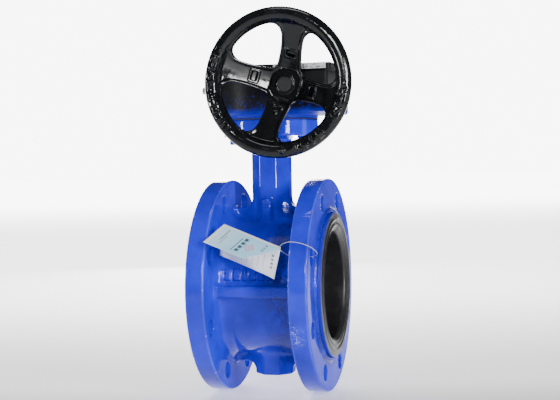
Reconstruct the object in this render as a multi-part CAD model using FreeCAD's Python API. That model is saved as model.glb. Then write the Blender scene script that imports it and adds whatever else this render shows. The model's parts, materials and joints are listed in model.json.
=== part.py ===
import FreeCAD, Part
import math
import os

# Gear-operated butterfly valve, DN 125 PN 16, double flanged, with a short body.
# Millimetres. Everything is drawn about the point where the pipe axis (X) meets the stem axis (Z),
# with the handwheel towards -Y. save() then moves it so that the origin is where the pipe axis
# crosses the inlet flange's bolting face.

# --- pipe side (EN 1092 PN 16 flanges); the length is over the rubber faces ---
FACE_TO_FACE = 153.0
FLANGE_R = 125.0
FLANGE_FACE_X = 69.5
FLANGE_BACK_X = 47.5
RAISED_FACE_R = 90.0
RAISED_FACE_X = 72.0
BOLT_CIRCLE_R = 105.0
BOLT_HOLE_R = 9.5
BOLT_COUNT = 8
EDGE_ROUND = 1.5
END_X = FACE_TO_FACE / 2

# --- body casting ---
BARREL_R = 80.0
HUB_R = 92.0
RIB_R = 91.5
RIB_WIDTH = 12.5
NECK_FLATS = 45.0
TOP_FLANGE_Z = 175.0
BODY_TOP_Z = 194.5
TOP_FLANGE_R = 56.0
BOSS_BOTTOM_Z = -105.5
GUSSET_Y = 33.0
GUSSET_TOP_Z = 97.0
NECK_FOOT_Z = 78.0
NECK_FOOT_X = 26.0
NECK_FOOT_Y = 42.0

# --- rubber seat liner ---
BORE_R = 62.5
LINER_OUTER_R = 71.0
LIP_R = 85.0
LIP_BACK_X = 69.0
LIP_CHAMFER = 1.0
MOUTH_R = 65.5
GROOVE_RADII = (70.0, 76.5)
GROOVE_HALF_WIDTH = 1.2
GROOVE_DEPTH = 0.8

# --- fits ---
RUNNING = 0.05
SLIP = 0.02

# --- stem and its bearings ---
STEM_R = 9.5
STEM_BOTTOM_Z = -92.0
STEM_TOP_Z = 236.0
STEM_BORE_R = 13.0
LOWER_BUSH_Z = (-91.0, -74.0)
MIDDLE_BUSH_Z = (74.0, 96.0)
O_RING_Z = (98.0, 101.6)
RETAINER_Z = (103.4, 114.0)
UPPER_BUSH_Z = (169.0, 192.0)
RETAINING_RING_Z = (192.0, 193.5)
PLUG_R = 18.0
PLUG_SHOULDER_Z = -96.0
PLUG_SPIGOT_Z = -95.1
PLUG_SOCKET_DEPTH = 5.0
SEAL_THICK = 1.5
PIN_Z = 32.0
PIN_BIG_R = 3.7
PIN_SMALL_R = 3.3
KEY = 6.0
KEY_Z = (209.0, 233.0)

# --- disc ---
DISC_R = BORE_R - RUNNING
DISC_HUB_R = 16.0

# --- gearbox, stacked on the body's top flange ---
GASKET = 1.0
HOUSING_Z = BODY_TOP_Z + GASKET
BASE_R = 56.0
BASE_TOP_Z = 201.0
FLOOR_Z = 205.5
HOUSING_TOP_Z = 247.6
COVER_Z = HOUSING_TOP_Z + GASKET
COVER_TOP_Z = 255.6
DRUM_R = 60.0
WALL = 8.0
BOX_X = 82.0
BOX_Y = 57.0
COVER_OVERHANG = 4.0
COVER_SCREW_TIP_Z = 235.0
COVER_SCREW_R = 2.5
BOX_CORNER_R = 4.0
MOUNT_BOLT_CIRCLE_R = 42.0
MOUNT_BOLT_R = 5.0
WASHER_THICK = 2.0
SHAFT_HOLE_R = 20.0

# --- worm gear: 26 teeth on the full circle, single start worm, so 6.5 turns for a quarter turn ---
GEAR_RATIO = 26
CENTRE_DISTANCE = 38.0
WORM_PITCH_R = 10.0
WHEEL_PITCH_R = CENTRE_DISTANCE - WORM_PITCH_R
MODULE = 2 * WHEEL_PITCH_R / GEAR_RATIO
LEAD = math.pi * MODULE
WORM_Z = 231.0
SHAFT_R = 8.0
WORM_BORE_R = 6.0
WORM_CORE_HALF = 24.0
WORM_PIN_R = 1.5
WORM_PIN_Y = 20.5
THREAD_TURNS = 5
WHEEL_HUB_R = 17.0
WHEEL_HUB_TOP_Z = 243.0
WHEEL_ROOT_R = WHEEL_PITCH_R - 1.25 * MODULE
WHEEL_TIP_R = WHEEL_PITCH_R + 0.9 * MODULE
WORM_ROOT_R = WORM_PITCH_R - 1.25 * MODULE
WORM_TIP_R = WORM_PITCH_R + 0.9 * MODULE
PRESSURE_ANGLE = math.radians(20)
SECTOR_FROM = -110.0
SECTOR_TO = 20.0
STOP_Y = 20.0
STOP_R = 4.0
STOP_TIP_X = -8.95
STOP_SEAT_X = -64.0
STOP_END_X = -77.0
STOP_NUT_X = -70.8
STOP_BOSS_R = 9.0
STOP_BOSS_X = -50.0

# --- position indicator on the cover ---
INDICATOR_Z = COVER_TOP_Z + 0.9
INDICATOR_THICK = 1.8
INDICATOR_REACH = 27.0
INDICATOR_SCREW_R = 3.0
SPINDLE_R = 8.0
SPINDLE_GROOVE_R = 10.5
SPINDLE_GROOVE_DEPTH = 3.0

# --- input shaft bearings and caps ---
BEARING_R = 12.0
BEARING_LENGTH = 12.0
CAP_R = 17.6
FRONT_CAP_Y = -64.0
REAR_CAP_Y = 62.0
CAP_SCREW_CIRCLE_R = 15.0
CAP_SCREW_R = 2.0
SEAL_R = 11.9

# --- handwheel ---
WHEEL_X = CENTRE_DISTANCE
WHEEL_MEAN_R = 74.5
RIM_TUBE_R = 7.7
RIM_Y = -112.0
HUB_FRONT_Y = -77.0
HUB_BACK_Y = -67.0
HUB_BOSS_R = 11.5
HUB_NOSE_R = 10.5
HUB_NOSE_Y = -80.0
HUB_SQUARE = 33.5
WHEEL_PIN_R = 2.5
WHEEL_PIN_Y = -71.5
SPOKE_ANGLE = 73.0
SPOKE_COUNT = 4
SPOKE_THICK = 6.5
SPOKE_DISH_R = 19.0
SPOKE_ROOT = (8.0, 16.5)
SPOKE_WAIST = (39.0, 12.0)
SPOKE_RIM = (WHEEL_MEAN_R - 2.0, 21.5)

# --- paper tag, two leaves folded at a ridge, and its thread ---
TAG_RIDGE_RIGHT = (38.0, -112.0, 52.0)
TAG_RIDGE_LEFT = (-32.5, -90.0, 76.7)
TAG_FRONT_FALL = (-16.5, -31.0, -17.2)
TAG_BACK_FALL = (-8.7, 11.0, -37.7)
TAG_WIDTH = 39.0
PAPER = 0.5
THREAD_R = 0.4
THREAD_ROUTE = [
    (36.2, -113.4, 51.1),
    (39.7, -118.0, 55.0),
    (46.5, -122.5, 58.0),
    (55.0, -125.2, 58.8),
    (64.0, -125.0, 57.2),
    (72.0, -120.5, 53.6),
    (77.5, -111.5, 48.0),
    (77.0, -102.5, 43.0),
    (70.5, -98.2, 40.8),
    (60.0, -97.6, 40.2),
    (50.0, -98.2, 40.4),
    (43.0, -101.0, 42.4),
    (38.6, -106.8, 46.2),
    (36.6, -112.6, 50.3),
]
KNOT_R = 1.6

X_AXIS = FreeCAD.Vector(1, 0, 0)
Y_AXIS = FreeCAD.Vector(0, 1, 0)
Z_AXIS = FreeCAD.Vector(0, 0, 1)
ORIGIN = FreeCAD.Vector(0, 0, 0)


def vec(x, y, z):
    return FreeCAD.Vector(x, y, z)


def rod(radius, start, end):
    """A round bar from start to end."""
    along = vec(*end) - vec(*start)
    return Part.makeCylinder(radius, along.Length, vec(*start), along)


def block(low, high):
    size = vec(*high) - vec(*low)
    return Part.makeBox(size.x, size.y, size.z, vec(*low))


def stem_ring(outer, inner, low_z, high_z):
    """A plain ring about the stem axis."""
    return rod(outer, (0, 0, low_z), (0, 0, high_z)).cut(rod(inner, (0, 0, low_z - 1), (0, 0, high_z + 1)))


def shaft_ring(outer, inner, low_y, high_y):
    """A plain ring about the input shaft's axis."""
    ring = rod(outer, (WHEEL_X, low_y, WORM_Z), (WHEEL_X, high_y, WORM_Z))
    return ring.cut(rod(inner, (WHEEL_X, low_y - 1, WORM_Z), (WHEEL_X, high_y + 1, WORM_Z)))


def outline_edges(points):
    """Edges through points; a point of four values is the end of an arc, after its middle point."""
    edges = []
    here = vec(points[0][0], 0, points[0][1])
    for point in points[1:] + points[:1]:
        there = vec(point[-2], 0, point[-1])
        if len(point) == 4:
            edges.append(Part.Arc(here, vec(point[0], 0, point[1]), there).toShape())
        else:
            edges.append(Part.makeLine(here, there))
        here = there
    return edges


def turned(points, axis):
    """A solid of revolution about X or Z through the origin, from an outline in the XZ plane."""
    face = Part.Face(Part.Wire(outline_edges(points)))
    return face.revolve(ORIGIN, axis, 360)


def fuse(shapes):
    return shapes[0].multiFuse(shapes[1:]).removeSplitter()


def around(shape, axis, count, centre=ORIGIN, first=0.0):
    """Copies of a shape, spaced evenly about an axis."""
    copies = []
    for i in range(count):
        copy = shape.copy()
        copy.rotate(centre, axis, first + 360.0 * i / count)
        copies.append(copy)
    return copies


def prism(sides, flats, low_z, high_z):
    """An upright prism with a flat side facing -Y."""
    corner_r = flats / 2 / math.cos(math.pi / sides)
    corners = []
    for i in range(sides + 1):
        angle = 2 * math.pi * (i + 0.5) / sides
        corners.append(vec(corner_r * math.cos(angle), corner_r * math.sin(angle), low_z))
    return Part.Face(Part.makePolygon(corners)).extrude(vec(0, 0, high_z - low_z))


def hexagon(flats, start, end):
    """A hexagonal bar from start to end."""
    along = vec(*end) - vec(*start)
    bar = prism(6, flats, 0, along.Length)
    bar.Placement = FreeCAD.Placement(vec(*start), FreeCAD.Rotation(Z_AXIS, along))
    return bar


def hex_head(flats, seat, top):
    """A bolt head or nut from its seat to its top, with the top's corners turned off at 30 degrees."""
    along = vec(*top) - vec(*seat)
    flat_r = flats / 2 * 0.97
    grow = along.Length / math.tan(math.radians(30))
    cone = Part.makeCone(flat_r + grow, flat_r, along.Length, vec(*seat), along)
    return hexagon(flats, seat, top).common(cone)


# ---------------------------------------------------------------- body and liner

def body_outline():
    """Half of the casting's section, from the raised face to the middle."""
    slope = EDGE_ROUND * (1 - math.sqrt(0.5))
    round_r = HUB_R - BARREL_R
    corner = round_r * math.sqrt(0.5)
    barrel_x = FLANGE_BACK_X - round_r
    return [
        (LIP_BACK_X, LINER_OUTER_R),
        (LIP_BACK_X, LIP_R),
        (RAISED_FACE_X, LIP_R),
        (RAISED_FACE_X, RAISED_FACE_R - 1.0),
        (FLANGE_FACE_X, RAISED_FACE_R),
        (FLANGE_FACE_X, FLANGE_R - EDGE_ROUND),
        (FLANGE_FACE_X - slope, FLANGE_R - slope, FLANGE_FACE_X - EDGE_ROUND, FLANGE_R),
        (FLANGE_BACK_X + EDGE_ROUND, FLANGE_R),
        (FLANGE_BACK_X + slope, FLANGE_R - slope, FLANGE_BACK_X, FLANGE_R - EDGE_ROUND),
        (FLANGE_BACK_X, HUB_R),
        (barrel_x + corner, HUB_R - corner, barrel_x, BARREL_R),
    ]


def mirrored(half):
    """The outline of half, followed by its mirror image in X = 0, walked backwards."""
    other = []
    ends = [point[-2:] for point in half]
    for i in range(len(half) - 1, -1, -1):
        arc_after = half[i + 1][:2] if i + 1 < len(half) and len(half[i + 1]) == 4 else None
        end = (-ends[i][0], ends[i][1])
        other.append((-arc_after[0], arc_after[1]) + end if arc_after else end)
    return half + other


def body_casting():
    casting = turned(mirrored(body_outline()), X_AXIS)
    inside = BARREL_R - 6.0
    rib = block((-FLANGE_BACK_X - 1, -RIB_WIDTH / 2, inside), (FLANGE_BACK_X + 1, RIB_WIDTH / 2, RIB_R))
    neck = prism(8, NECK_FLATS, inside, TOP_FLANGE_Z + 2)
    boss = prism(8, NECK_FLATS, BOSS_BOTTOM_Z, -inside)
    top_flange = rod(TOP_FLANGE_R, (0, 0, TOP_FLANGE_Z), (0, 0, BODY_TOP_Z))
    gusset = block((-RIB_WIDTH / 2, -GUSSET_Y, inside - 4.0), (RIB_WIDTH / 2, 0, GUSSET_TOP_Z))
    gusset = gusset.fuse(rod(RIB_WIDTH / 2, (0, -GUSSET_Y, GUSSET_TOP_Z), (0, 0, GUSSET_TOP_Z)))
    shapes = [casting, neck, boss, top_flange]
    shapes += around(rib, X_AXIS, 4)
    shapes += around(gusset, Z_AXIS, 2)
    body = fuse(shapes)
    cuts = [
        rod(LINER_OUTER_R, (-END_X, 0, 0), (END_X, 0, 0)),
        rod(STEM_BORE_R, (0, 0, BOSS_BOTTOM_Z - 1), (0, 0, BODY_TOP_Z + 1)),
        rod(PLUG_R, (0, 0, BOSS_BOTTOM_Z - 1), (0, 0, PLUG_SHOULDER_Z)),
    ]
    flange_hole = rod(BOLT_HOLE_R, (-END_X, 0, BOLT_CIRCLE_R), (END_X, 0, BOLT_CIRCLE_R))
    cuts += around(flange_hole, X_AXIS, BOLT_COUNT, ORIGIN, 180.0 / BOLT_COUNT)
    cuts += mount_bars(MOUNT_BOLT_R + 0.5, TOP_FLANGE_Z - 7.0, BODY_TOP_Z + 1)
    return body.cut(cuts)


def body_parts():
    """The one-piece casting, parted at plain faces into the simple shapes that it is made of."""
    casting = body_casting()
    wide = FLANGE_R + 1.0
    over = TOP_FLANGE_R + 1.0
    foot_x, foot_y = NECK_FOOT_X, NECK_FOOT_Y
    spaces = {
        "inlet_flange_plate": block((-END_X, -wide, -wide), (-FLANGE_BACK_X, wide, wide)),
        "outlet_flange_plate": block((FLANGE_BACK_X, -wide, -wide), (END_X, wide, wide)),
        "body_neck": block((-foot_x, -foot_y, NECK_FOOT_Z), (foot_x, foot_y, TOP_FLANGE_Z)),
        "top_flange": block((-over, -over, TOP_FLANGE_Z), (over, over, BODY_TOP_Z + 1)),
    }
    parts = {node: casting.common(space) for node, space in spaces.items()}
    barrel = casting.cut(list(spaces.values()))
    lower_half = block((-END_X, -wide, -wide), (END_X, wide, 0))
    parts["valve_body"] = barrel.common(lower_half)
    parts["barrel_top"] = barrel.cut(lower_half)
    return parts


def seat_liner():
    """The rubber sleeve between the two lips."""
    sleeve = rod(LINER_OUTER_R, (-LIP_BACK_X, 0, 0), (LIP_BACK_X, 0, 0))
    bore = rod(BORE_R, (-END_X, 0, 0), (END_X, 0, 0))
    return sleeve.cut([bore, rod(STEM_R + RUNNING, (0, 0, -LIP_R), (0, 0, LIP_R))])


def outlet_seat_lip():
    """The sleeve's end, turned outwards over the raised face, with two moulded grooves."""
    outline = [(LIP_BACK_X, BORE_R), (END_X, MOUTH_R)]
    for groove_r in GROOVE_RADII:
        outline.append((END_X, groove_r - GROOVE_HALF_WIDTH))
        outline.append((END_X - GROOVE_DEPTH, groove_r))
        outline.append((END_X, groove_r + GROOVE_HALF_WIDTH))
    outline += [(END_X, LIP_R - LIP_CHAMFER), (END_X - LIP_CHAMFER, LIP_R), (LIP_BACK_X, LIP_R)]
    return turned(outline, X_AXIS)


def inlet_seat_lip():
    return outlet_seat_lip().mirror(ORIGIN, X_AXIS)


# ---------------------------------------------------------------- disc and stem

def disc():
    lens = [
        (-11.0, 0.0),
        (-11.0, 18.0),
        (-5.0, BORE_R + 2),
        (5.0, BORE_R + 2),
        (11.0, 18.0),
        (11.0, 0.0),
    ]
    plate = turned(lens, X_AXIS)
    hub = rod(DISC_HUB_R, (0, 0, -BORE_R), (0, 0, BORE_R))
    arms = block((-9.0, -BORE_R, -5.0), (9.0, BORE_R, 5.0))
    whole = fuse([plate, hub, arms]).common(Part.makeSphere(DISC_R))
    whole = whole.cut(rod(STEM_R + SLIP, (0, 0, -BORE_R), (0, 0, BORE_R)))
    return whole.cut(pin_solids(SLIP))


def pin_solids(extra=0.0):
    """Two taper pins through the disc's hub and the stem."""
    big, small = PIN_BIG_R + extra, PIN_SMALL_R + extra
    starts = [vec(-DISC_HUB_R, 0, z) for z in (-PIN_Z, PIN_Z)]
    return [Part.makeCone(big, small, 2 * DISC_HUB_R, start, X_AXIS) for start in starts]


def taper_pins():
    return Part.makeCompound(pin_solids())


def key_block(extra=0.0):
    half = KEY / 2 + extra
    low = (STEM_R - KEY / 2 - extra, -half, KEY_Z[0] - extra)
    high = (STEM_R + KEY / 2 - 0.5 + extra, half, KEY_Z[1] + extra)
    return block(low, high)


def stem():
    bar = rod(STEM_R, (0, 0, STEM_BOTTOM_Z), (0, 0, STEM_TOP_Z))
    return bar.cut(pin_solids(SLIP) + [key_block(SLIP)])


def stem_o_rings():
    section_r = (STEM_BORE_R - STEM_R - RUNNING) / 2
    mean_r = STEM_R + RUNNING + section_r
    return Part.makeCompound([Part.makeTorus(mean_r, section_r, vec(0, 0, z), Z_AXIS) for z in O_RING_Z])


def thrust_washer():
    return rod(STEM_BORE_R - 0.1, (0, 0, PLUG_SPIGOT_Z + 0.1), (0, 0, STEM_BOTTOM_Z - RUNNING))


def bottom_gasket():
    return stem_ring(PLUG_R - SLIP, STEM_BORE_R, PLUG_SHOULDER_Z - SEAL_THICK, PLUG_SHOULDER_Z)


def bottom_plug():
    head = rod(PLUG_R - SLIP, (0, 0, BOSS_BOTTOM_Z), (0, 0, PLUG_SHOULDER_Z - SEAL_THICK))
    spigot = rod(STEM_BORE_R - 0.1, (0, 0, PLUG_SHOULDER_Z - SEAL_THICK - 1), (0, 0, PLUG_SPIGOT_Z))
    socket = hexagon(10.0, (0, 0, BOSS_BOTTOM_Z - 1), (0, 0, BOSS_BOTTOM_Z + PLUG_SOCKET_DEPTH))
    return head.fuse(spigot).cut(socket)


# ---------------------------------------------------------------- gearbox

def box_outline(grow, low_z, high_z):
    """The gearbox's plan: a round drum about the stem with a square worm box to its right."""
    drum = rod(DRUM_R + grow, (0, 0, low_z), (0, 0, high_z))
    box = block((0, -BOX_Y - grow, low_z), (BOX_X + grow, BOX_Y + grow, high_z))
    corners = []
    for edge in box.Edges:
        first, last = edge.Vertexes
        if abs(first.Z - last.Z) > 0.1 and first.X > BOX_X / 2:
            corners.append(edge)
    return drum.fuse(box.makeFillet(BOX_CORNER_R + min(grow, 0) / 4, corners)).removeSplitter()


def cover_screw_places():
    places = [(64.0, BOX_Y - WALL / 2), (64.0, WALL / 2 - BOX_Y), (BOX_X - WALL / 2, 0.0)]
    for degrees in (110, 180, 250):
        spot = vec(DRUM_R - WALL / 2, 0, 0)
        spot = FreeCAD.Rotation(Z_AXIS, degrees).multVec(spot)
        places.append((spot.x, spot.y))
    return places


def stop_bars(radius, from_x, to_x):
    return [rod(radius, (from_x, side * STOP_Y, WORM_Z), (to_x, side * STOP_Y, WORM_Z)) for side in (-1, 1)]


def mount_bars(radius, low_z, high_z):
    bar = rod(radius, (MOUNT_BOLT_CIRCLE_R, 0, low_z), (MOUNT_BOLT_CIRCLE_R, 0, high_z))
    return around(bar, Z_AXIS, 4)


def cap_bars(radius, low_y, high_y):
    centre = vec(WHEEL_X, 0, WORM_Z)
    x = WHEEL_X + CAP_SCREW_CIRCLE_R
    bar = rod(radius, (x, low_y, WORM_Z), (x, high_y, WORM_Z))
    return around(bar, Y_AXIS, 4, centre, 45.0)


def cover_bars(radius, low_z, high_z):
    return [rod(radius, (x, y, low_z), (x, y, high_z)) for x, y in cover_screw_places()]


def gearbox_housing():
    outside = box_outline(0, BASE_TOP_Z, HOUSING_TOP_Z)
    base = rod(BASE_R, (0, 0, HOUSING_Z), (0, 0, BASE_TOP_Z + 1))
    stop_bosses = stop_bars(STOP_BOSS_R, STOP_SEAT_X, STOP_BOSS_X)
    housing = fuse([outside, base]).cut(box_outline(-WALL, FLOOR_Z, HOUSING_TOP_Z + 1))
    housing = fuse([housing] + stop_bosses)
    cuts = [
        rod(SHAFT_HOLE_R, (0, 0, HOUSING_Z - 1), (0, 0, FLOOR_Z + 1)),
        rod(BEARING_R + SLIP, (WHEEL_X, -BOX_Y - 1, WORM_Z), (WHEEL_X, BOX_Y + 1, WORM_Z)),
    ]
    cuts += stop_bars(STOP_R + SLIP, STOP_SEAT_X - 1, STOP_BOSS_X + 10)
    cuts += mount_bars(MOUNT_BOLT_R + SLIP, HOUSING_Z - 1, FLOOR_Z - 0.8)
    cuts += cap_bars(CAP_SCREW_R + SLIP, -BOX_Y - 1, WALL - BOX_Y + 1)
    cuts += cap_bars(CAP_SCREW_R + SLIP, BOX_Y - WALL - 1, BOX_Y + 1)
    cuts += cover_bars(COVER_SCREW_R + SLIP, COVER_SCREW_TIP_Z - 1, HOUSING_TOP_Z + 1)
    return housing.cut(cuts)


def cover_gasket():
    sheet = box_outline(0, HOUSING_TOP_Z, COVER_Z).cut(box_outline(-WALL, HOUSING_TOP_Z - 1, COVER_Z + 1))
    return sheet.cut(cover_bars(COVER_SCREW_R + 0.5, HOUSING_TOP_Z - 1, COVER_Z + 1))


def gearbox_cover():
    plate = box_outline(COVER_OVERHANG, COVER_Z, COVER_TOP_Z)
    collar = rod(13.0, (0, 0, WHEEL_HUB_TOP_Z + 2.0), (0, 0, COVER_Z + 1))
    cover = plate.fuse(collar)
    cuts = cover_bars(COVER_SCREW_R + 0.5, COVER_Z - 1, COVER_TOP_Z + 1)
    cuts += cover_bars(5.5, COVER_TOP_Z - 4.5, COVER_TOP_Z + 1)
    cuts.append(rod(SPINDLE_R + RUNNING, (0, 0, WHEEL_HUB_TOP_Z), (0, 0, COVER_TOP_Z + 1)))
    cuts.append(rod(SPINDLE_GROOVE_R, (0, 0, COVER_TOP_Z - SPINDLE_GROOVE_DEPTH), (0, 0, COVER_TOP_Z + 1)))
    return cover.cut(cuts)


def cover_screws():
    screws = []
    for x, y in cover_screw_places():
        head = rod(4.6, (x, y, COVER_TOP_Z - 4.5), (x, y, COVER_TOP_Z - 0.3))
        shank = rod(COVER_SCREW_R, (x, y, COVER_SCREW_TIP_Z), (x, y, COVER_TOP_Z - 4))
        socket = hexagon(4.0, (x, y, COVER_TOP_Z - 2.8), (x, y, COVER_TOP_Z))
        screws.append(head.fuse(shank).cut(socket))
    return Part.makeCompound(screws)


def mounting_bolts():
    seat = TOP_FLANGE_Z - WASHER_THICK
    head = hex_head(16.0, (MOUNT_BOLT_CIRCLE_R, 0, seat), (MOUNT_BOLT_CIRCLE_R, 0, seat - 6.4))
    heads = around(head, Z_AXIS, 4)
    shanks = mount_bars(MOUNT_BOLT_R, seat - 1, FLOOR_Z - 1.0)
    return Part.makeCompound([head.fuse(shank) for head, shank in zip(heads, shanks)])


def mounting_washers():
    low = TOP_FLANGE_Z - WASHER_THICK
    discs = mount_bars(10.0, low, TOP_FLANGE_Z)
    holes = mount_bars(MOUNT_BOLT_R + 0.25, low - 1, TOP_FLANGE_Z + 1)
    return Part.makeCompound([disc.cut(hole) for disc, hole in zip(discs, holes)])


def mounting_gasket():
    sheet = stem_ring(TOP_FLANGE_R, 21.0, BODY_TOP_Z, HOUSING_Z)
    return sheet.cut(mount_bars(MOUNT_BOLT_R + 0.5, BODY_TOP_Z - 1, HOUSING_Z + 1))


def stop_screws():
    bars = []
    for bar, side in zip(stop_bars(STOP_R, STOP_END_X, STOP_TIP_X), (-1, 1)):
        y = side * STOP_Y
        bars.append(bar.cut(hexagon(4.0, (STOP_END_X - 1, y, WORM_Z), (STOP_END_X + 4, y, WORM_Z))))
    return Part.makeCompound(bars)


def stop_nuts():
    nuts = []
    for side in (-1, 1):
        y = side * STOP_Y
        nut = hex_head(13.0, (STOP_SEAT_X, y, WORM_Z), (STOP_NUT_X, y, WORM_Z))
        nuts.append(nut.cut(rod(STOP_R + SLIP, (STOP_NUT_X - 1, y, WORM_Z), (STOP_SEAT_X + 1, y, WORM_Z))))
    return Part.makeCompound(nuts)


# ---------------------------------------------------------------- worm gear

def worm_wheel():
    """Hub with a toothed sector; the tooth gaps face the worm with the valve shut."""
    hub = rod(WHEEL_HUB_R, (0, 0, HOUSING_Z + 0.6), (0, 0, WHEEL_HUB_TOP_Z))
    start = math.radians(SECTOR_FROM)
    end = math.radians(SECTOR_TO)
    middle = (start + end) / 2
    low_z = WORM_Z - 9.0

    def on_root(angle):
        return vec(WHEEL_ROOT_R * math.cos(angle), WHEEL_ROOT_R * math.sin(angle), low_z)

    centre = vec(0, 0, low_z)
    edges = [
        Part.makeLine(centre, on_root(start)),
        Part.Arc(on_root(start), on_root(middle), on_root(end)).toShape(),
        Part.makeLine(on_root(end), centre),
    ]
    sector = Part.Face(Part.Wire(edges)).extrude(vec(0, 0, 18.0))
    pitch_angle = 360.0 / GEAR_RATIO
    teeth = []
    place = -7.5 * pitch_angle
    while place < SECTOR_TO - 5:
        tooth = wheel_tooth()
        tooth.rotate(ORIGIN, Z_AXIS, place)
        teeth.append(tooth)
        place += pitch_angle
    wheel = fuse([hub, sector] + teeth)
    screw_hole = rod(INDICATOR_SCREW_R + SLIP, (0, 0, STEM_TOP_Z), (0, 0, WHEEL_HUB_TOP_Z + 1))
    stem_hole = rod(STEM_R + SLIP, (0, 0, HOUSING_Z), (0, 0, STEM_TOP_Z + SLIP))
    return wheel.cut([stem_hole, screw_hole, key_block(SLIP)])


def wheel_tooth():
    """One tooth on the +X side, slanted to follow the worm's lead."""
    half_face = 7.0
    slant = math.tan(LEAD / (2 * math.pi * WORM_PITCH_R))
    half_root = 0.98 * MODULE
    half_pitch = 0.62 * MODULE
    half_tip = 0.24 * MODULE
    inner = WHEEL_ROOT_R - 1.0
    outline = [
        (inner, -half_root),
        (WHEEL_ROOT_R + 0.1, -half_root),
        (WHEEL_PITCH_R, -half_pitch),
        (WHEEL_TIP_R, -half_tip),
        (WHEEL_TIP_R, half_tip),
        (WHEEL_PITCH_R, half_pitch),
        (WHEEL_ROOT_R + 0.1, half_root),
        (inner, half_root),
    ]
    shift = half_face * slant
    corners = [vec(x, y - shift, WORM_Z - half_face) for x, y in outline]
    face = Part.Face(Part.makePolygon(corners + corners[:1]))
    return face.extrude(vec(0, 2 * shift, 2 * half_face))


def worm_pin_bar(extra=0.0):
    start = (WHEEL_X - WORM_ROOT_R, WORM_PIN_Y, WORM_Z)
    end = (WHEEL_X + WORM_ROOT_R, WORM_PIN_Y, WORM_Z)
    return rod(WORM_PIN_R + extra, start, end)


def worm():
    """Single start, right hand; its thread crest faces the wheel's tooth gap."""
    core = rod(WORM_ROOT_R, (0, -WORM_CORE_HALF, 0), (0, WORM_CORE_HALF, 0))
    spread = math.tan(PRESSURE_ANGLE)
    half_pitch = LEAD / 4 - 0.12
    half_root = half_pitch + (WORM_PITCH_R - WORM_ROOT_R + 0.3) * spread
    half_tip = half_pitch - (WORM_TIP_R - WORM_PITCH_R) * spread
    height = THREAD_TURNS * LEAD
    helix = Part.makeHelix(LEAD, height, WORM_PITCH_R)
    helix.rotate(ORIGIN, X_AXIS, -90)
    inner = WORM_ROOT_R - 0.3
    corners = [
        vec(inner, -half_root, 0),
        vec(WORM_TIP_R, -half_tip, 0),
        vec(WORM_TIP_R, half_tip, 0),
        vec(inner, half_root, 0),
    ]
    section = Part.makePolygon(corners + corners[:1])
    thread = Part.Wire(helix.Edges).makePipeShell([section], True, True)
    thread.translate(vec(0, -height / 2, 0))
    solid = core.fuse(thread).cut(rod(WORM_BORE_R + SLIP, (0, -40, 0), (0, 40, 0)))
    solid.translate(vec(WHEEL_X, 0, WORM_Z))
    return solid.cut(worm_pin_bar(SLIP))


# ---------------------------------------------------------------- input shaft

def shaft_rod(radius, low_y, high_y):
    return rod(radius, (WHEEL_X, low_y, WORM_Z), (WHEEL_X, high_y, WORM_Z))


def wheel_pin_bar(extra=0.0):
    start = (WHEEL_X, WHEEL_PIN_Y, WORM_Z - HUB_BOSS_R)
    end = (WHEEL_X, WHEEL_PIN_Y, WORM_Z + HUB_BOSS_R)
    return rod(WHEEL_PIN_R + extra, start, end)


def input_shaft():
    thick = shaft_rod(SHAFT_R, HUB_NOSE_Y, -WORM_CORE_HALF - 0.1)
    thin = shaft_rod(WORM_BORE_R, -WORM_CORE_HALF - 1, BOX_Y - 2.0)
    return thick.fuse(thin).cut([wheel_pin_bar(SLIP), worm_pin_bar(SLIP)])


def bearing_cap():
    cap = shaft_rod(CAP_R, FRONT_CAP_Y, -BOX_Y)
    cuts = [
        shaft_rod(SEAL_R + 0.1, FRONT_CAP_Y - 1, FRONT_CAP_Y + 6.5),
        shaft_rod(SHAFT_R + 0.6, FRONT_CAP_Y, 1 - BOX_Y),
    ]
    return cap.cut(cuts + cap_bars(CAP_SCREW_R + 0.2, FRONT_CAP_Y - 1, -BOX_Y + 1))


def rear_cap():
    return shaft_rod(CAP_R, BOX_Y, REAR_CAP_Y).cut(cap_bars(CAP_SCREW_R + 0.2, BOX_Y - 1, REAR_CAP_Y + 1))


def cap_screws():
    screws = []
    ways = ((FRONT_CAP_Y, FRONT_CAP_Y - 2.4, 6.0 - BOX_Y), (REAR_CAP_Y, REAR_CAP_Y + 2.4, BOX_Y - 6.0))
    for seat, top, tip in ways:
        inward = 0.2 if tip > seat else -0.2
        heads = cap_bars(2.6, min(seat, top), max(seat, top))
        shanks = cap_bars(CAP_SCREW_R, min(seat - inward, tip), max(seat - inward, tip))
        screws += [head.fuse(shank) for head, shank in zip(heads, shanks)]
    return Part.makeCompound(screws)


# ---------------------------------------------------------------- position indicator

def position_indicator():
    """Spindle and pointer plate, turning with the worm wheel."""
    base = rod(12.0, (0, 0, WHEEL_HUB_TOP_Z), (0, 0, WHEEL_HUB_TOP_Z + 1.9))
    spindle = rod(SPINDLE_R, (0, 0, WHEEL_HUB_TOP_Z), (0, 0, INDICATOR_Z + INDICATOR_THICK))
    plate = rod(17.0, (0, 0, INDICATOR_Z), (0, 0, INDICATOR_Z + INDICATOR_THICK))
    tip = [vec(-6, -14, INDICATOR_Z), vec(0, -INDICATOR_REACH, INDICATOR_Z), vec(6, -14, INDICATOR_Z)]
    pointer = Part.Face(Part.makePolygon(tip + tip[:1])).extrude(vec(0, 0, INDICATOR_THICK))
    pointers = around(pointer, Z_AXIS, 2)
    whole = fuse([base, spindle, plate] + pointers)
    return whole.cut(rod(INDICATOR_SCREW_R + SLIP, (0, 0, WHEEL_HUB_TOP_Z - 1), (0, 0, INDICATOR_Z + 5)))


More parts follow.
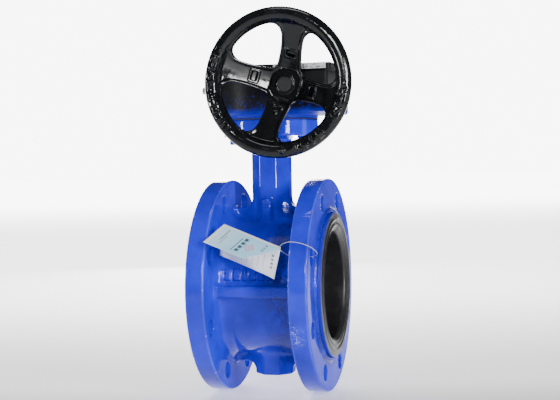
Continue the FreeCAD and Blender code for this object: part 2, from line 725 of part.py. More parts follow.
def indicator_screw():
    top = INDICATOR_Z + INDICATOR_THICK
    shank = rod(INDICATOR_SCREW_R, (0, 0, WHEEL_HUB_TOP_Z - 5.0), (0, 0, top))
    head = rod(5.0, (0, 0, top), (0, 0, top + 2.0))
    return shank.fuse(head).cut(block((-5, -0.6, top + 1.0), (5, 0.6, top + 3)))


def indicator_o_ring():
    section_r = (SPINDLE_GROOVE_R - SPINDLE_R - RUNNING) / 2
    mean_r = SPINDLE_R + RUNNING + section_r
    return Part.makeTorus(mean_r, section_r, vec(0, 0, COVER_TOP_Z - 1.6), Z_AXIS)


def scale_plate():
    """Fixed ring under the pointer, with a notch in its rim at shut and at open."""
    plate = stem_ring(31.0, 11.0, COVER_TOP_Z, COVER_TOP_Z + 0.6)
    notch = block((-1.2, -33.0, COVER_TOP_Z - 1), (1.2, -28.0, COVER_TOP_Z + 2))
    return plate.cut(around(notch, Z_AXIS, 4))


def label_plate():
    front = -BOX_Y - COVER_OVERHANG
    return block((20.0, front - 0.5, COVER_Z + 0.4), (BOX_X - 1.0, front, COVER_TOP_Z - 0.4))


# ---------------------------------------------------------------- handwheel

def on_wheel(angle, along, across, y):
    """A point of the wheel, from its distance along and across a spoke."""
    a = math.radians(angle)
    x = WHEEL_X + along * math.cos(a) - across * math.sin(a)
    z = WORM_Z + along * math.sin(a) + across * math.cos(a)
    return vec(x, y, z)


def spoke_prism(angle):
    """A waisted spoke seen from the front, extruded through the whole depth of the wheel."""
    front = RIM_Y - 2 * RIM_TUBE_R

    def spot(place, side):
        return on_wheel(angle, place[0], side * place[1], front)

    edges = [
        Part.makeLine(spot(SPOKE_ROOT, -1), spot(SPOKE_ROOT, 1)),
        Part.Arc(spot(SPOKE_ROOT, 1), spot(SPOKE_WAIST, 1), spot(SPOKE_RIM, 1)).toShape(),
        Part.makeLine(spot(SPOKE_RIM, 1), spot(SPOKE_RIM, -1)),
        Part.Arc(spot(SPOKE_RIM, -1), spot(SPOKE_WAIST, -1), spot(SPOKE_ROOT, -1)).toShape(),
    ]
    return Part.Face(Part.Wire(edges)).extrude(vec(0, HUB_BACK_Y - front, 0))


def handwheel():
    rim = Part.makeTorus(WHEEL_MEAN_R, RIM_TUBE_R, vec(WHEEL_X, RIM_Y, WORM_Z), Y_AXIS)
    inner_rim = WHEEL_MEAN_R - RIM_TUBE_R
    front = [(0, HUB_FRONT_Y), (SPOKE_DISH_R, HUB_FRONT_Y), (inner_rim, RIM_Y), (WHEEL_MEAN_R, RIM_Y)]
    section = [vec(x, y, 0) for x, y in front] + [vec(x, y + SPOKE_THICK, 0) for x, y in reversed(front)]
    dish = Part.Face(Part.makePolygon(section + section[:1])).revolve(ORIGIN, Y_AXIS, 360)
    dish.translate(vec(WHEEL_X, 0, WORM_Z))
    spokes = [dish.common(spoke_prism(SPOKE_ANGLE + 360.0 * i / SPOKE_COUNT)) for i in range(SPOKE_COUNT)]
    half = HUB_SQUARE / 2
    low = (WHEEL_X - half, HUB_FRONT_Y - 1.5, WORM_Z - half)
    high = (WHEEL_X + half, HUB_FRONT_Y + SPOKE_THICK, WORM_Z + half)
    plateau = block(low, high)
    plateau.rotate(vec(WHEEL_X, 0, WORM_Z), Y_AXIS, -SPOKE_ANGLE)
    nose = shaft_rod(HUB_NOSE_R, HUB_NOSE_Y, HUB_FRONT_Y)
    boss = shaft_rod(HUB_BOSS_R, HUB_FRONT_Y, HUB_BACK_Y)
    wheel = fuse([rim, plateau, nose, boss] + spokes)
    return wheel.cut([shaft_rod(SHAFT_R + SLIP, HUB_NOSE_Y - 1, HUB_BACK_Y + 1), wheel_pin_bar(SLIP)])


# ---------------------------------------------------------------- tag and thread

def leaf(fall, length):
    """One leaf of the folded tag, hanging square to the ridge."""
    right, left = vec(*TAG_RIDGE_RIGHT), vec(*TAG_RIDGE_LEFT)
    ridge = (right - left).normalize()
    down = vec(*fall)
    down = (down - ridge * down.dot(ridge)).normalize() * length
    thickness = ridge.cross(down).normalize() * PAPER
    face = Part.Face(Part.makePolygon([left, right, right + down, left + down, left]))
    face.translate(thickness * -0.5)
    return face.extrude(thickness)


def paper_tag():
    return leaf(TAG_FRONT_FALL, TAG_WIDTH).fuse(leaf(TAG_BACK_FALL, TAG_WIDTH)).removeSplitter()


def rounded_route(points):
    """Straight runs joined by tangent arcs, as one wire, with its length and its tightest arc."""
    spots = [vec(*p) for p in points]
    edges = []
    here = spots[0]
    length = 0.0
    tightest = 1e9
    for before, corner, after in zip(spots, spots[1:], spots[2:]):
        into = (corner - before).normalize()
        out = (after - corner).normalize()
        turn = into.getAngle(out)
        reach = 0.45 * min((corner - before).Length, (after - corner).Length)
        radius = reach / math.tan(turn / 2)
        start, end = corner - into * reach, corner + out * reach
        inward = (out - into).normalize()
        centre = corner + inward * math.hypot(radius, reach)
        middle = centre - inward * radius
        edges.append(Part.LineSegment(here, start).toShape())
        edges.append(Part.Arc(start, middle, end).toShape())
        length += (start - here).Length + radius * turn
        tightest = min(tightest, radius)
        here = end
    edges.append(Part.LineSegment(here, spots[-1]).toShape())
    length += (spots[-1] - here).Length
    return Part.Wire(edges), length, tightest


def tag_thread():
    route, length, tightest = rounded_route(THREAD_ROUTE)
    start = vec(*THREAD_ROUTE[0])
    circle = Part.Wire(Part.makeCircle(THREAD_R, start, vec(*THREAD_ROUTE[1]) - start))
    tube = route.makePipeShell([circle], True, True, 2)
    print("thread length %.1f, tightest arc %.1f" % (length, tightest))
    print("tube volume against section times length: %.4f" % (tube.Volume / (math.pi * THREAD_R**2 * length)))
    return tube.fuse(Part.makeSphere(KNOT_R, start))


# ---------------------------------------------------------------- all nodes

NODES = {
    "seat_liner": seat_liner,
    "inlet_seat_lip": inlet_seat_lip,
    "outlet_seat_lip": outlet_seat_lip,
    "disc": disc,
    "stem": stem,
    "taper_pins": taper_pins,
    "lower_bush": lambda: stem_ring(STEM_BORE_R, STEM_R + RUNNING, *LOWER_BUSH_Z),
    "middle_bush": lambda: stem_ring(STEM_BORE_R, STEM_R + RUNNING, *MIDDLE_BUSH_Z),
    "upper_bush": lambda: stem_ring(STEM_BORE_R, STEM_R + RUNNING, *UPPER_BUSH_Z),
    "stem_o_rings": stem_o_rings,
    "seal_retainer": lambda: stem_ring(STEM_BORE_R, STEM_R + RUNNING, *RETAINER_Z),
    "bush_retaining_ring": lambda: stem_ring(STEM_BORE_R, STEM_R + 1.0, *RETAINING_RING_Z),
    "thrust_washer": thrust_washer,
    "bottom_gasket": bottom_gasket,
    "bottom_plug": bottom_plug,
    "stem_key": key_block,
    "mounting_gasket": mounting_gasket,
    "mounting_bolts": mounting_bolts,
    "mounting_washers": mounting_washers,
    "gearbox_housing": gearbox_housing,
    "gearbox_cover": gearbox_cover,
    "cover_gasket": cover_gasket,
    "cover_screws": cover_screws,
    "wheel_bush": lambda: stem_ring(SHAFT_HOLE_R, WHEEL_HUB_R + RUNNING, HOUSING_Z + 0.3, FLOOR_Z),
    "worm_wheel": worm_wheel,
    "worm": worm,
    "worm_pin": worm_pin_bar,
    "input_shaft": input_shaft,
    "front_bearing": lambda: shaft_ring(BEARING_R, SHAFT_R + RUNNING, -BOX_Y, BEARING_LENGTH - BOX_Y),
    "rear_bearing": lambda: shaft_ring(BEARING_R, WORM_BORE_R + RUNNING, BOX_Y - BEARING_LENGTH, BOX_Y - 0.5),
    "shaft_seal": lambda: shaft_ring(SEAL_R, SHAFT_R + RUNNING, FRONT_CAP_Y + 0.5, FRONT_CAP_Y + 6.4),
    "bearing_cap": bearing_cap,
    "rear_cap": rear_cap,
    "cap_screws": cap_screws,
    "stop_screws": stop_screws,
    "stop_nuts": stop_nuts,
    "position_indicator": position_indicator,
    "indicator_screw": indicator_screw,
    "indicator_o_ring": indicator_o_ring,
    "scale_plate": scale_plate,
    "label_plate": label_plate,
    "handwheel": handwheel,
    "handwheel_pin": wheel_pin_bar,
    "paper_tag": paper_tag,
    "tag_thread": tag_thread,
}


def save(node, shape):
    """Writes one node, with the origin moved to the inlet flange's bolting face."""
    placed = shape.copy()
    placed.translate(vec(FLANGE_FACE_X, 0, 0))
    placed.exportStep("parts/" + node + ".step")


if __name__ == "__main__":
    os.makedirs("parts", exist_ok=True)
    for node, shape in body_parts().items():
        save(node, shape)
    for node, make in NODES.items():
        save(node, make())
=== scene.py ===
import json
import math

import bpy
import numpy as np
import openvdb
from mathutils import Matrix, Vector


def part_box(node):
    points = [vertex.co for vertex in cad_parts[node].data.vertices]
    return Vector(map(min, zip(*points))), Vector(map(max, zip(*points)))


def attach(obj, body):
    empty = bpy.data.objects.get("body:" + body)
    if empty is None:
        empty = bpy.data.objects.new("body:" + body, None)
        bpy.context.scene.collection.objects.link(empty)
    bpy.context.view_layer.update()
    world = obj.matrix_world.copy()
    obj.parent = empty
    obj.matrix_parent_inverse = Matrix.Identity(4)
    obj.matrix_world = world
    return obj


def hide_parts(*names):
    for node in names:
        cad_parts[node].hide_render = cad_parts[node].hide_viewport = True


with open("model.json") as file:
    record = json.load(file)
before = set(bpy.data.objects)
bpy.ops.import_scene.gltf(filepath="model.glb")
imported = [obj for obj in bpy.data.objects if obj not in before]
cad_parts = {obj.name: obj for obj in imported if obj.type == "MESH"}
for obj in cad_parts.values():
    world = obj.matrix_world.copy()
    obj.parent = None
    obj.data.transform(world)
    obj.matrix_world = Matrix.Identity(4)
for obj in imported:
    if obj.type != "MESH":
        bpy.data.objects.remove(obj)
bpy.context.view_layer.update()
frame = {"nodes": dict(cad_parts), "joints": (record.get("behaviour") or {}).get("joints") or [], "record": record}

# Shapes are worked out in millimetres about the point where the pipe axis meets the stem axis.
MM = 0.001
PLATE_LOW, PLATE_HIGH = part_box("outlet_flange_plate")
STEM_LOW, STEM_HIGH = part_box("stem")
CENTRE = Vector(((STEM_LOW.x + STEM_HIGH.x) / 2, 0.0, 0.0))
JOINTS = {joint["name"]: joint for joint in frame["joints"]}
WHEEL_CENTRE = Vector(JOINTS["handwheel_turn"]["pos_m"])
MOUNTS = {mount["name"]: mount for mount in frame["record"]["mounts"]}


def in_mm(node):
    """A CAD node's lowest and highest corners, in millimetres about the valve's centre."""
    low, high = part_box(node)
    return (low - CENTRE) / MM, (high - CENTRE) / MM


# ---------------------------------------------------------------- camera, floor and light

CAMERA_OFFSET = Vector((0.3565, -1.3225, 0.1382))
CAMERA_FORWARD = Vector((-0.2540, 0.9668, -0.0278))
CAMERA_ROLL = math.radians(1.162)
LENS = 74.04
AWAY = Vector((CAMERA_FORWARD.x, CAMERA_FORWARD.y, 0.0)).normalized()
ASIDE = Vector((AWAY.y, -AWAY.x, 0.0))
FLOOR_HALF = 30.0

# strengths of glow: the room, the floor at the valve's feet and further back, and the white backdrop
ROOM, NEAR_GLOW, FLOOR_GLOW, BACKDROP = 0.10, 0.9, 3.4, 8.0
# cosines of the angles from AWAY at which the backdrop starts and is full
BACKDROP_STARTS, BACKDROP_FULL = 0.918, 0.962
# the wedge of floor that glows: how far its tip is in front of the valve, and how steeply its soft sides
# open, outside and inside
WEDGE_TIP, WEDGE_ENDS, WEDGE_FULL = 1.4, 0.36, 0.23

# each soft box: where it stands from the valve's middle, its width and height, and its power in watts
SOFT_BOXES = {
    "key_box": ((1.42, -1.02, 0.28), (0.30, 0.70), 34.0),
    "left_strip": ((-1.45, -0.85, 0.15), (0.18, 0.70), 17.0),
    "front_box": ((0.12, -1.75, 0.60), (0.30, 0.30), 9.0),
    "top_box": ((0.0, -0.20, 1.5), (0.7, 0.3), 3.5),
    "back_box": ((-0.6, 1.60, 0.3), (0.5, 0.8), 12.0),
}


def add_camera():
    data = bpy.data.cameras.new("camera")
    data.lens = LENS
    data.sensor_width = 36.0
    camera = bpy.data.objects.new("camera", data)
    bpy.context.scene.collection.objects.link(camera)
    turn = CAMERA_FORWARD.to_track_quat("-Z", "Y").to_matrix().to_4x4()
    roll = Matrix.Rotation(-CAMERA_ROLL, 4, "Z")
    camera.matrix_world = Matrix.Translation(CENTRE + CAMERA_OFFSET) @ turn @ roll
    bpy.context.scene.camera = camera


def area_light(name, place, aim, size, power):
    data = bpy.data.lights.new(name, "AREA")
    data.shape = "RECTANGLE"
    data.size, data.size_y = size
    data.energy = power
    light = bpy.data.objects.new(name, data)
    bpy.context.scene.collection.objects.link(light)
    turn = (aim - place).to_track_quat("-Z", "Y").to_matrix().to_4x4()
    light.matrix_world = Matrix.Translation(place) @ turn


def add_light():
    """A dim room with a white backdrop at its far side, and small soft boxes that draw crisp highlights."""
    world = bpy.data.worlds.new("studio")
    bpy.context.scene.world = world
    world.use_nodes = True
    nodes, links = world.node_tree.nodes, world.node_tree.links
    way = nodes.new("ShaderNodeTexCoord")
    facing = nodes.new("ShaderNodeVectorMath")
    facing.operation = "DOT_PRODUCT"
    facing.inputs[1].default_value = AWAY
    links.new(way.outputs["Generated"], facing.inputs[0])
    glow = nodes.new("ShaderNodeMapRange")
    glow.interpolation_type = "SMOOTHSTEP"
    numbers = {"From Min": BACKDROP_STARTS, "From Max": BACKDROP_FULL, "To Min": ROOM, "To Max": BACKDROP}
    for name, number in numbers.items():
        glow.inputs[name].default_value = number
    links.new(facing.outputs["Value"], glow.inputs["Value"])
    sky = nodes["Background"]
    sky.inputs["Color"].default_value = (1.0, 1.0, 1.0, 1.0)
    links.new(glow.outputs[0], sky.inputs["Strength"])
    middle = CENTRE + Vector((0.0, 0.0, 0.08))
    for name, (offset, size, power) in SOFT_BOXES.items():
        area_light(name, middle + Vector(offset), middle, size, power)


def add_floor():
    """A pale floor that glows behind the valve, within the picture's width, and merges with the backdrop."""
    corners = ((-1, -1), (1, -1), (1, 1), (-1, 1))
    mesh = bpy.data.meshes.new("floor")
    mesh.from_pydata([(x * FLOOR_HALF, y * FLOOR_HALF, PLATE_LOW.z) for x, y in corners], [], [(0, 1, 2, 3)])
    floor = bpy.data.objects.new("floor", mesh)
    bpy.context.scene.collection.objects.link(floor)
    paint = Nodes("floor_paper")
    place = paint.place()
    cloud = paint.noise(place, 3.0, 2.0)
    color = paint.ramp(cloud, [(0.3, (0.86, 0.86, 0.87)), (0.7, (0.9, 0.9, 0.9))])
    away = paint.vector_math("DOT_PRODUCT", place, AWAY)
    from_centre = paint.vector_math("SUBTRACT", place, CENTRE)
    aside = paint.math("ABSOLUTE", paint.vector_math("DOT_PRODUCT", from_centre, ASIDE))
    reach = paint.math("MAXIMUM", paint.math("ADD", away, WEDGE_TIP), 0.1)
    spread = paint.math("DIVIDE", aside, reach)
    underfoot = paint.step(away, -0.16, 0.04, 0.1, NEAR_GLOW)
    near = paint.math("ADD", underfoot, paint.step(away, 0.0, 1.1, 0.0, FLOOR_GLOW - NEAR_GLOW))
    far = paint.step(away, 3.0, 8.0, 0.0, BACKDROP - FLOOR_GLOW)
    wedge = paint.step(spread, WEDGE_ENDS, WEDGE_FULL, 0.03, 1.0)
    glow = paint.times(paint.math("ADD", near, far), wedge)
    paint.link((1.0, 1.0, 1.0), paint.shader.inputs["Emission Color"])
    paint.link(glow, paint.shader.inputs["Emission Strength"])
    paint.finish(color=color, roughness=0.7)
    mesh.materials.append(paint.material)


# ---------------------------------------------------------------- node materials

class Nodes:
    """A small helper that wires one procedural material."""

    def __init__(self, name):
        self.material = bpy.data.materials.new(name)
        self.material.use_nodes = True
        self.tree = self.material.node_tree
        self.shader = self.tree.nodes["Principled BSDF"]
        self._place = None

    def node(self, kind, values, **settings):
        """A new node with these settings, and with each value at the input of that name or number."""
        made = self.tree.nodes.new(kind)
        for key, setting in settings.items():
            setattr(made, key, setting)
        for key, value in values.items():
            self.link(value, made.inputs[key])
        return made

    def link(self, value, socket):
        if isinstance(value, bpy.types.NodeSocket):
            self.tree.links.new(value, socket)
        elif isinstance(value, (tuple, list)) and len(value) == 3 and socket.type == "RGBA":
            socket.default_value = (*value, 1.0)
        else:
            socket.default_value = value

    def place(self, name="Object"):
        if self._place is None:
            self._place = self.node("ShaderNodeTexCoord", {})
        return self._place.outputs[name]

    def split(self, vector):
        outputs = self.node("ShaderNodeSeparateXYZ", {0: vector}).outputs
        return outputs[0], outputs[1], outputs[2]

    def join(self, x, y, z):
        return self.node("ShaderNodeCombineXYZ", {0: x, 1: y, 2: z}).outputs[0]

    def math(self, operation, *values):
        return self.node("ShaderNodeMath", dict(enumerate(values)), operation=operation).outputs[0]

    def times(self, product, *factors):
        for factor in factors:
            product = self.math("MULTIPLY", product, factor)
        return product

    def vector_math(self, operation, *values):
        made = self.node("ShaderNodeVectorMath", dict(enumerate(values)), operation=operation)
        gives_number = operation in ("LENGTH", "DISTANCE", "DOT_PRODUCT")
        return made.outputs["Value" if gives_number else 0]

    def step(self, value, start, end, to_start=0.0, to_end=1.0):
        """Smooth change from to_start to to_end as value goes from start to end."""
        values = {"Value": value, "From Min": start, "From Max": end, "To Min": to_start, "To Max": to_end}
        return self.node("ShaderNodeMapRange", values, interpolation_type="SMOOTHSTEP").outputs[0]

    def noise(self, vector, scale, detail=2.0, roughness=0.5, distortion=0.0):
        values = {"Vector": vector, "Scale": scale, "Detail": detail, "Roughness": roughness,
                  "Distortion": distortion}
        return self.node("ShaderNodeTexNoise", values).outputs[0]

    def cells(self, vector, scale):
        return self.node("ShaderNodeTexVoronoi", {"Vector": vector, "Scale": scale}).outputs["Distance"]

    def ramp(self, value, stops):
        made = self.node("ShaderNodeValToRGB", {0: value})
        ramp = made.color_ramp
        while len(ramp.elements) < len(stops):
            ramp.elements.new(0.5)
        for element, (at, color) in zip(ramp.elements, stops):
            element.position = at
            element.color = (*color, 1.0)
        return made.outputs[0]

    def mix(self, factor, first, second):
        values = {"Factor": factor, 6: first, 7: second}
        return self.node("ShaderNodeMix", values, data_type="RGBA").outputs[2]

    def bump(self, height, distance, strength, below=None):
        values = {"Height": height, "Distance": distance, "Strength": strength}
        if below is not None:
            values["Normal"] = below
        return self.node("ShaderNodeBump", values).outputs[0]

    def box_mask(self, u, v, low, high):
        """1 inside a rectangle of the u, v plane."""
        tests = []
        for value, start, end in ((u, low[0], high[0]), (v, low[1], high[1])):
            tests += [self.math("GREATER_THAN", value, start), self.math("LESS_THAN", value, end)]
        return self.times(*tests)

    def boxes_mask(self, u, v, boxes):
        """1 inside any of several rectangles of the u, v plane."""
        mask = 0.0
        for low, high in boxes:
            mask = self.math("MAXIMUM", mask, self.box_mask(u, v, low, high))
        return mask

    def distance_from_axis(self, a, b):
        """How far a point is from an axis, from its two offsets across that axis."""
        return self.math("SQRT", self.math("ADD", self.times(a, a), self.times(b, b)))

    def finish(self, color, roughness=0.5, metallic=0.0, normal=None, coat=0.0, coat_roughness=0.05,
               specular=0.5):
        inputs = self.shader.inputs
        self.link(color, inputs["Base Color"])
        self.link(roughness, inputs["Roughness"])
        self.link(metallic, inputs["Metallic"])
        self.link(coat, inputs["Coat Weight"])
        self.link(coat_roughness, inputs["Coat Roughness"])
        self.link(specular, inputs["Specular IOR Level"])
        if normal is not None:
            self.link(normal, inputs["Normal"])
        return self.material


BLUE = (0.017, 0.025, 0.740)
BLUE_DEEP = (0.011, 0.017, 0.480)
# the darkest blue is painted shade on the barrel and also its dark speckle; the lightest blue is a painted
# highlight along the flange edges
BLUE_SHADE_AND_SPECK = (0.003, 0.006, 0.090)
BLUE_EDGE_HIGHLIGHT = (0.11, 0.16, 0.92)
# The paint's index of refraction, kept low on the flanges' flat faces, which would otherwise mirror the
# bright floor and turn pale when they are seen edge-on.
ENAMEL_IOR, FACED_IOR = 1.5, 1.10
SCUFF = (0.36, 0.43, 0.72)
BARE_RUST = (0.20, 0.12, 0.10)


def blue_enamel():
    """Thick gloss enamel over a sand casting: orange peel, grain, dirty speckle over painted shade on the barrel,
    and chipped flange edges with a painted highlight along them.
    """
    paint = Nodes("blue_enamel")
    place = paint.place()
    x, y, z = paint.split(place)
    from_middle = paint.math("SUBTRACT", x, CENTRE.x)
    along = paint.math("ABSOLUTE", from_middle)
    radius = paint.distance_from_axis(y, z)

    tone = paint.noise(place, 22.0, 3.0)
    color = paint.ramp(tone, [(0.32, BLUE_DEEP), (0.62, BLUE)])

    # painted shade on the barrel towards the outlet flange, with dust nibs and overspray grain: the patch is
    # darkened throughout, and more where the grain is heavy
    flange_r = PLATE_HIGH.y
    on_barrel = paint.step(radius, flange_r * 0.80, flange_r * 0.70)
    right_side = paint.step(from_middle, -0.002, 0.024)
    shade_and_speckle_patch = paint.times(on_barrel, right_side, paint.step(paint.noise(place, 30.0, 2.0), 0.28, 0.52))
    grain = paint.step(paint.noise(place, 620.0, 3.0, 0.65), 0.44, 0.58, 0.45, 1.0)
    # painted shade: the patch is darkened towards the darkest blue everywhere, and further where the grain is
    # heavy
    color = paint.mix(paint.times(shade_and_speckle_patch, grain, 0.85), color, BLUE_SHADE_AND_SPECK)
    loose_grain = paint.step(paint.noise(place, 480.0, 2.0), 0.66, 0.72)
    color = paint.mix(paint.times(loose_grain, 0.25), color, BLUE_SHADE_AND_SPECK)

    # painted highlight along the flange rims, a lighter blue on their edges, and rubbed and chipped paint there
    rim = paint.step(radius, flange_r - 0.0022, flange_r - 0.0006)
    side = paint.math("MINIMUM", paint.math("ABSOLUTE", paint.math("SUBTRACT", along, FLANGE_OUT * MM)),
                      paint.math("ABSOLUTE", paint.math("SUBTRACT", along, FLANGE_IN * MM)))
    corner = paint.times(rim, paint.step(side, 0.0028, 0.0008))
    # painted highlight: lighter blue in patches along the rim edges
    painted_edge_highlight = paint.times(corner, paint.step(paint.noise(place, 14.0, 2.0), 0.35, 0.60, 0.10, 0.42))
    color = paint.mix(painted_edge_highlight, color, BLUE_EDGE_HIGHLIGHT)
    worn = paint.times(corner, paint.step(paint.noise(place, 75.0, 4.0, 0.7), 0.60, 0.66))
    color = paint.mix(paint.times(worn, 0.7), color, SCUFF)

    # one scraped place low on the outlet flange's near edge and one rusty knock at its top
    scrape_at = (CENTRE.x + 0.049, -flange_r * 0.93, -flange_r * 0.36)
    scrape = paint.step(paint.vector_math("DISTANCE", place, scrape_at), 0.020, 0.004)
    scrape = paint.times(scrape, paint.step(paint.noise(place, 260.0, 4.0, 0.7, 1.5), 0.52, 0.60))
    color = paint.mix(paint.times(scrape, 0.8), color, SCUFF)
    knock_at = (CENTRE.x + 0.050, -flange_r * 0.30, flange_r * 0.955)
    knock = paint.step(paint.vector_math("DISTANCE", place, knock_at), 0.014, 0.003)
    knock = paint.times(knock, paint.step(paint.noise(place, 330.0, 3.0, 0.7), 0.50, 0.60))
    color = paint.mix(paint.times(knock, 0.6), color, BARE_RUST)
    marks = paint.math("MAXIMUM", worn, paint.math("MAXIMUM", scrape, knock))

    peel = paint.noise(place, 210.0, 2.0, 0.45)
    sand = paint.noise(place, 780.0, 2.0, 0.6)
    waves = paint.noise(place, 38.0, 1.0)
    as_cast = paint.step(along, FLANGE_IN * MM + 0.003, FLANGE_IN * MM - 0.003, 0.14, 0.5)
    normal = paint.bump(waves, 0.0011, as_cast)
    normal = paint.bump(peel, 0.00022, as_cast, normal)
    cast_grain = paint.math("ADD", paint.times(as_cast, 0.32), paint.times(shade_and_speckle_patch, 0.8))
    normal = paint.bump(sand, 0.00012, cast_grain, normal)
    normal = paint.bump(paint.math("SUBTRACT", 1.0, marks), 0.0002, 0.6, normal)
    dull = paint.math("MAXIMUM", marks, paint.times(shade_and_speckle_patch, 0.6))
    roughness = paint.math("ADD", 0.06, paint.times(dull, 0.40))
    faced = paint.math("ABSOLUTE", paint.split(paint.place("Normal"))[0])
    paint.link(paint.step(faced, 0.80, 0.97, ENAMEL_IOR, FACED_IOR), paint.shader.inputs["IOR"])
    return paint.finish(color, roughness, 0.0, normal, specular=0.4)


def seat_rubber():
    """Moulded rubber: matt, with faint mould rings, and blue overspray at its outer edge."""
    paint = Nodes("seat_rubber")
    place = paint.place()
    x, y, z = paint.split(place)
    radius = paint.distance_from_axis(y, z)
    rings = paint.noise(paint.join(radius, paint.times(x, 0.4), 0.0), 620.0, 2.0)
    dust = paint.step(paint.noise(place, 34.0, 4.0, 0.65), 0.48, 0.72)
    color = paint.mix(dust, (0.012, 0.012, 0.014), (0.036, 0.037, 0.040))
    spray = paint.math("ADD", radius, paint.times(paint.noise(place, 90.0, 3.0), 0.0022))
    spray = paint.step(spray, (LIP_R - 1.2) * MM + 0.0008, (LIP_R - 0.4) * MM + 0.0010)
    color = paint.mix(spray, color, BLUE_DEEP)
    grain = paint.noise(place, 1400.0, 2.0)
    normal = paint.bump(rings, 0.00025, 0.7)
    normal = paint.bump(grain, 0.00006, 0.5, normal)
    roughness = paint.math("ADD", 0.34, paint.times(dust, 0.25))
    return paint.finish(color, roughness, 0.0, normal)


def wheel_enamel():
    """Black stoving enamel on a rough casting: very glossy, lumpy, with small bright nibs."""
    paint = Nodes("wheel_gloss_black")
    place = paint.place()
    tone = paint.noise(place, 60.0, 3.0)
    color = paint.ramp(tone, [(0.3, (0.0020, 0.0024, 0.0030)), (0.7, (0.0045, 0.0055, 0.0070))])
    lumps = paint.noise(place, 46.0, 2.0)
    peel = paint.noise(place, 190.0, 3.0, 0.55)
    nibs = paint.step(paint.cells(place, 130.0), 0.17, 0.02)
    from_hub = paint.vector_math("SUBTRACT", place, WHEEL_CENTRE)
    x, _, z = paint.split(from_hub)
    radius = paint.distance_from_axis(x, z)
    down = math.radians(SPOKE_ANGLE + 180.0)
    along = paint.vector_math("DOT_PRODUCT", from_hub, (math.cos(down), 0.0, math.sin(down)))
    facing = paint.math("DIVIDE", along, radius)
    # the stretches of the rim, at both sides of the down spoke, that carry the raised marks
    ends = ((radius, 0.0660, 0.0690), (radius, 0.0840, 0.0790), (facing, 0.91, 0.88), (facing, -0.34, -0.28))
    marked = paint.times(*(paint.step(value, outside, inside) for value, outside, inside in ends))
    rough_cast = paint.noise(place, 105.0, 1.0, 0.4)
    normal = paint.bump(lumps, 0.0014, 0.5)
    normal = paint.bump(rough_cast, 0.0030, marked, normal)
    normal = paint.bump(peel, 0.00022, 0.5, normal)
    normal = paint.bump(nibs, 0.00025, 0.5, normal)
    dull = paint.step(paint.noise(place, 28.0, 3.0), 0.52, 0.70)
    roughness = paint.math("ADD", 0.08, paint.times(dull, 0.14))
    return paint.finish(color, roughness, 0.0, normal, specular=0.5)


def gearbox_enamel():
    """Satin dark grey paint, with blue overspray fading up from the joint with the valve."""
    paint = Nodes("gearbox_iron")
    place = paint.place()
    z = paint.split(place)[2]
    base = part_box("gearbox_housing")[0].z
    wobble = paint.times(paint.math("SUBTRACT", paint.noise(place, 40.0, 3.0), 0.5), 0.016)
    height = paint.math("SUBTRACT", paint.math("ADD", z, wobble), base)
    blue = paint.step(height, 0.0150, 0.0050)
    specks = paint.step(paint.noise(place, 420.0, 2.0), 0.56, 0.64)
    mist = paint.times(paint.step(height, 0.034, 0.010), specks, 0.6)
    cover = paint.math("MAXIMUM", blue, mist)
    tone = paint.noise(place, 35.0, 3.0)
    dark = paint.ramp(tone, [(0.3, (0.004, 0.0045, 0.006)), (0.7, (0.009, 0.010, 0.012))])
    color = paint.mix(cover, dark, BLUE_DEEP)
    sand = paint.noise(place, 620.0, 3.0, 0.6)
    peel = paint.noise(place, 120.0, 2.0)
    normal = paint.bump(peel, 0.0005, 0.45)
    normal = paint.bump(sand, 0.00016, 0.45, normal)
    roughness = paint.math("ADD", 0.34, paint.times(tone, 0.22))
    return paint.finish(color, roughness, 0.0, normal, specular=0.10)


def bare_metal(name, light, dark, roughness, axis="Z", scale=900.0, metallic=1.0):
    """Turned or plated metal with fine tool marks across the part's axis."""
    paint = Nodes(name)
    place = paint.place()
    x, y, z = paint.split(place)
    lines = {"X": (x, 0.0, 0.0), "Y": (y, 0.0, 0.0), "Z": (z, 0.0, 0.0)}[axis]
    marks = paint.noise(paint.join(*lines), scale, 2.0)
    tone = paint.noise(place, 55.0, 3.0)
    color = paint.mix(tone, dark, light)
    normal = paint.bump(marks, 0.00005, 0.5)
    rough = paint.math("ADD", roughness, paint.times(paint.noise(place, 180.0, 3.0), 0.2))
    return paint.finish(color, rough, metallic, normal)


def plain_sheet(name, light, dark, roughness, grain=700.0):
    """A dull part such as a gasket, seal or nylon ring."""
    paint = Nodes(name)
    place = paint.place()
    color = paint.mix(paint.noise(place, 90.0, 3.0), dark, light)
    normal = paint.bump(paint.noise(place, grain, 2.0), 0.0001, 0.4)
    return paint.finish(color, roughness, 0.0, normal)


def label_foil():
    """Silvery strip with two rows of blurred grey marks that say nothing."""
    paint = Nodes("label_foil")
    place = paint.place()
    x, _, z = paint.split(place)
    low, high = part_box("label_plate")
    u = paint.math("DIVIDE", paint.math("SUBTRACT", x, low.x), high.x - low.x)
    v = paint.math("DIVIDE", paint.math("SUBTRACT", z, low.z), high.z - low.z)
    rows = paint.boxes_mask(u, v, [((0.04, 0.16), (0.96, 0.42)), ((0.20, 0.58), (0.84, 0.84))])
    along_strip = paint.join(x, 0.0, paint.times(v, 0.004))
    broken = paint.step(paint.noise(along_strip, 430.0, 2.0), 0.50, 0.56)
    marks = paint.times(rows, broken, 0.75)
    worn = paint.noise(place, 240.0, 4.0, 0.7)
    silver = paint.ramp(worn, [(0.3, (0.42, 0.43, 0.45)), (0.6, (0.80, 0.81, 0.83))])
    color = paint.mix(marks, silver, (0.08, 0.08, 0.09))
    normal = paint.bump(worn, 0.0001, 0.4)
    return paint.finish(color, 0.32, 0.35, normal)


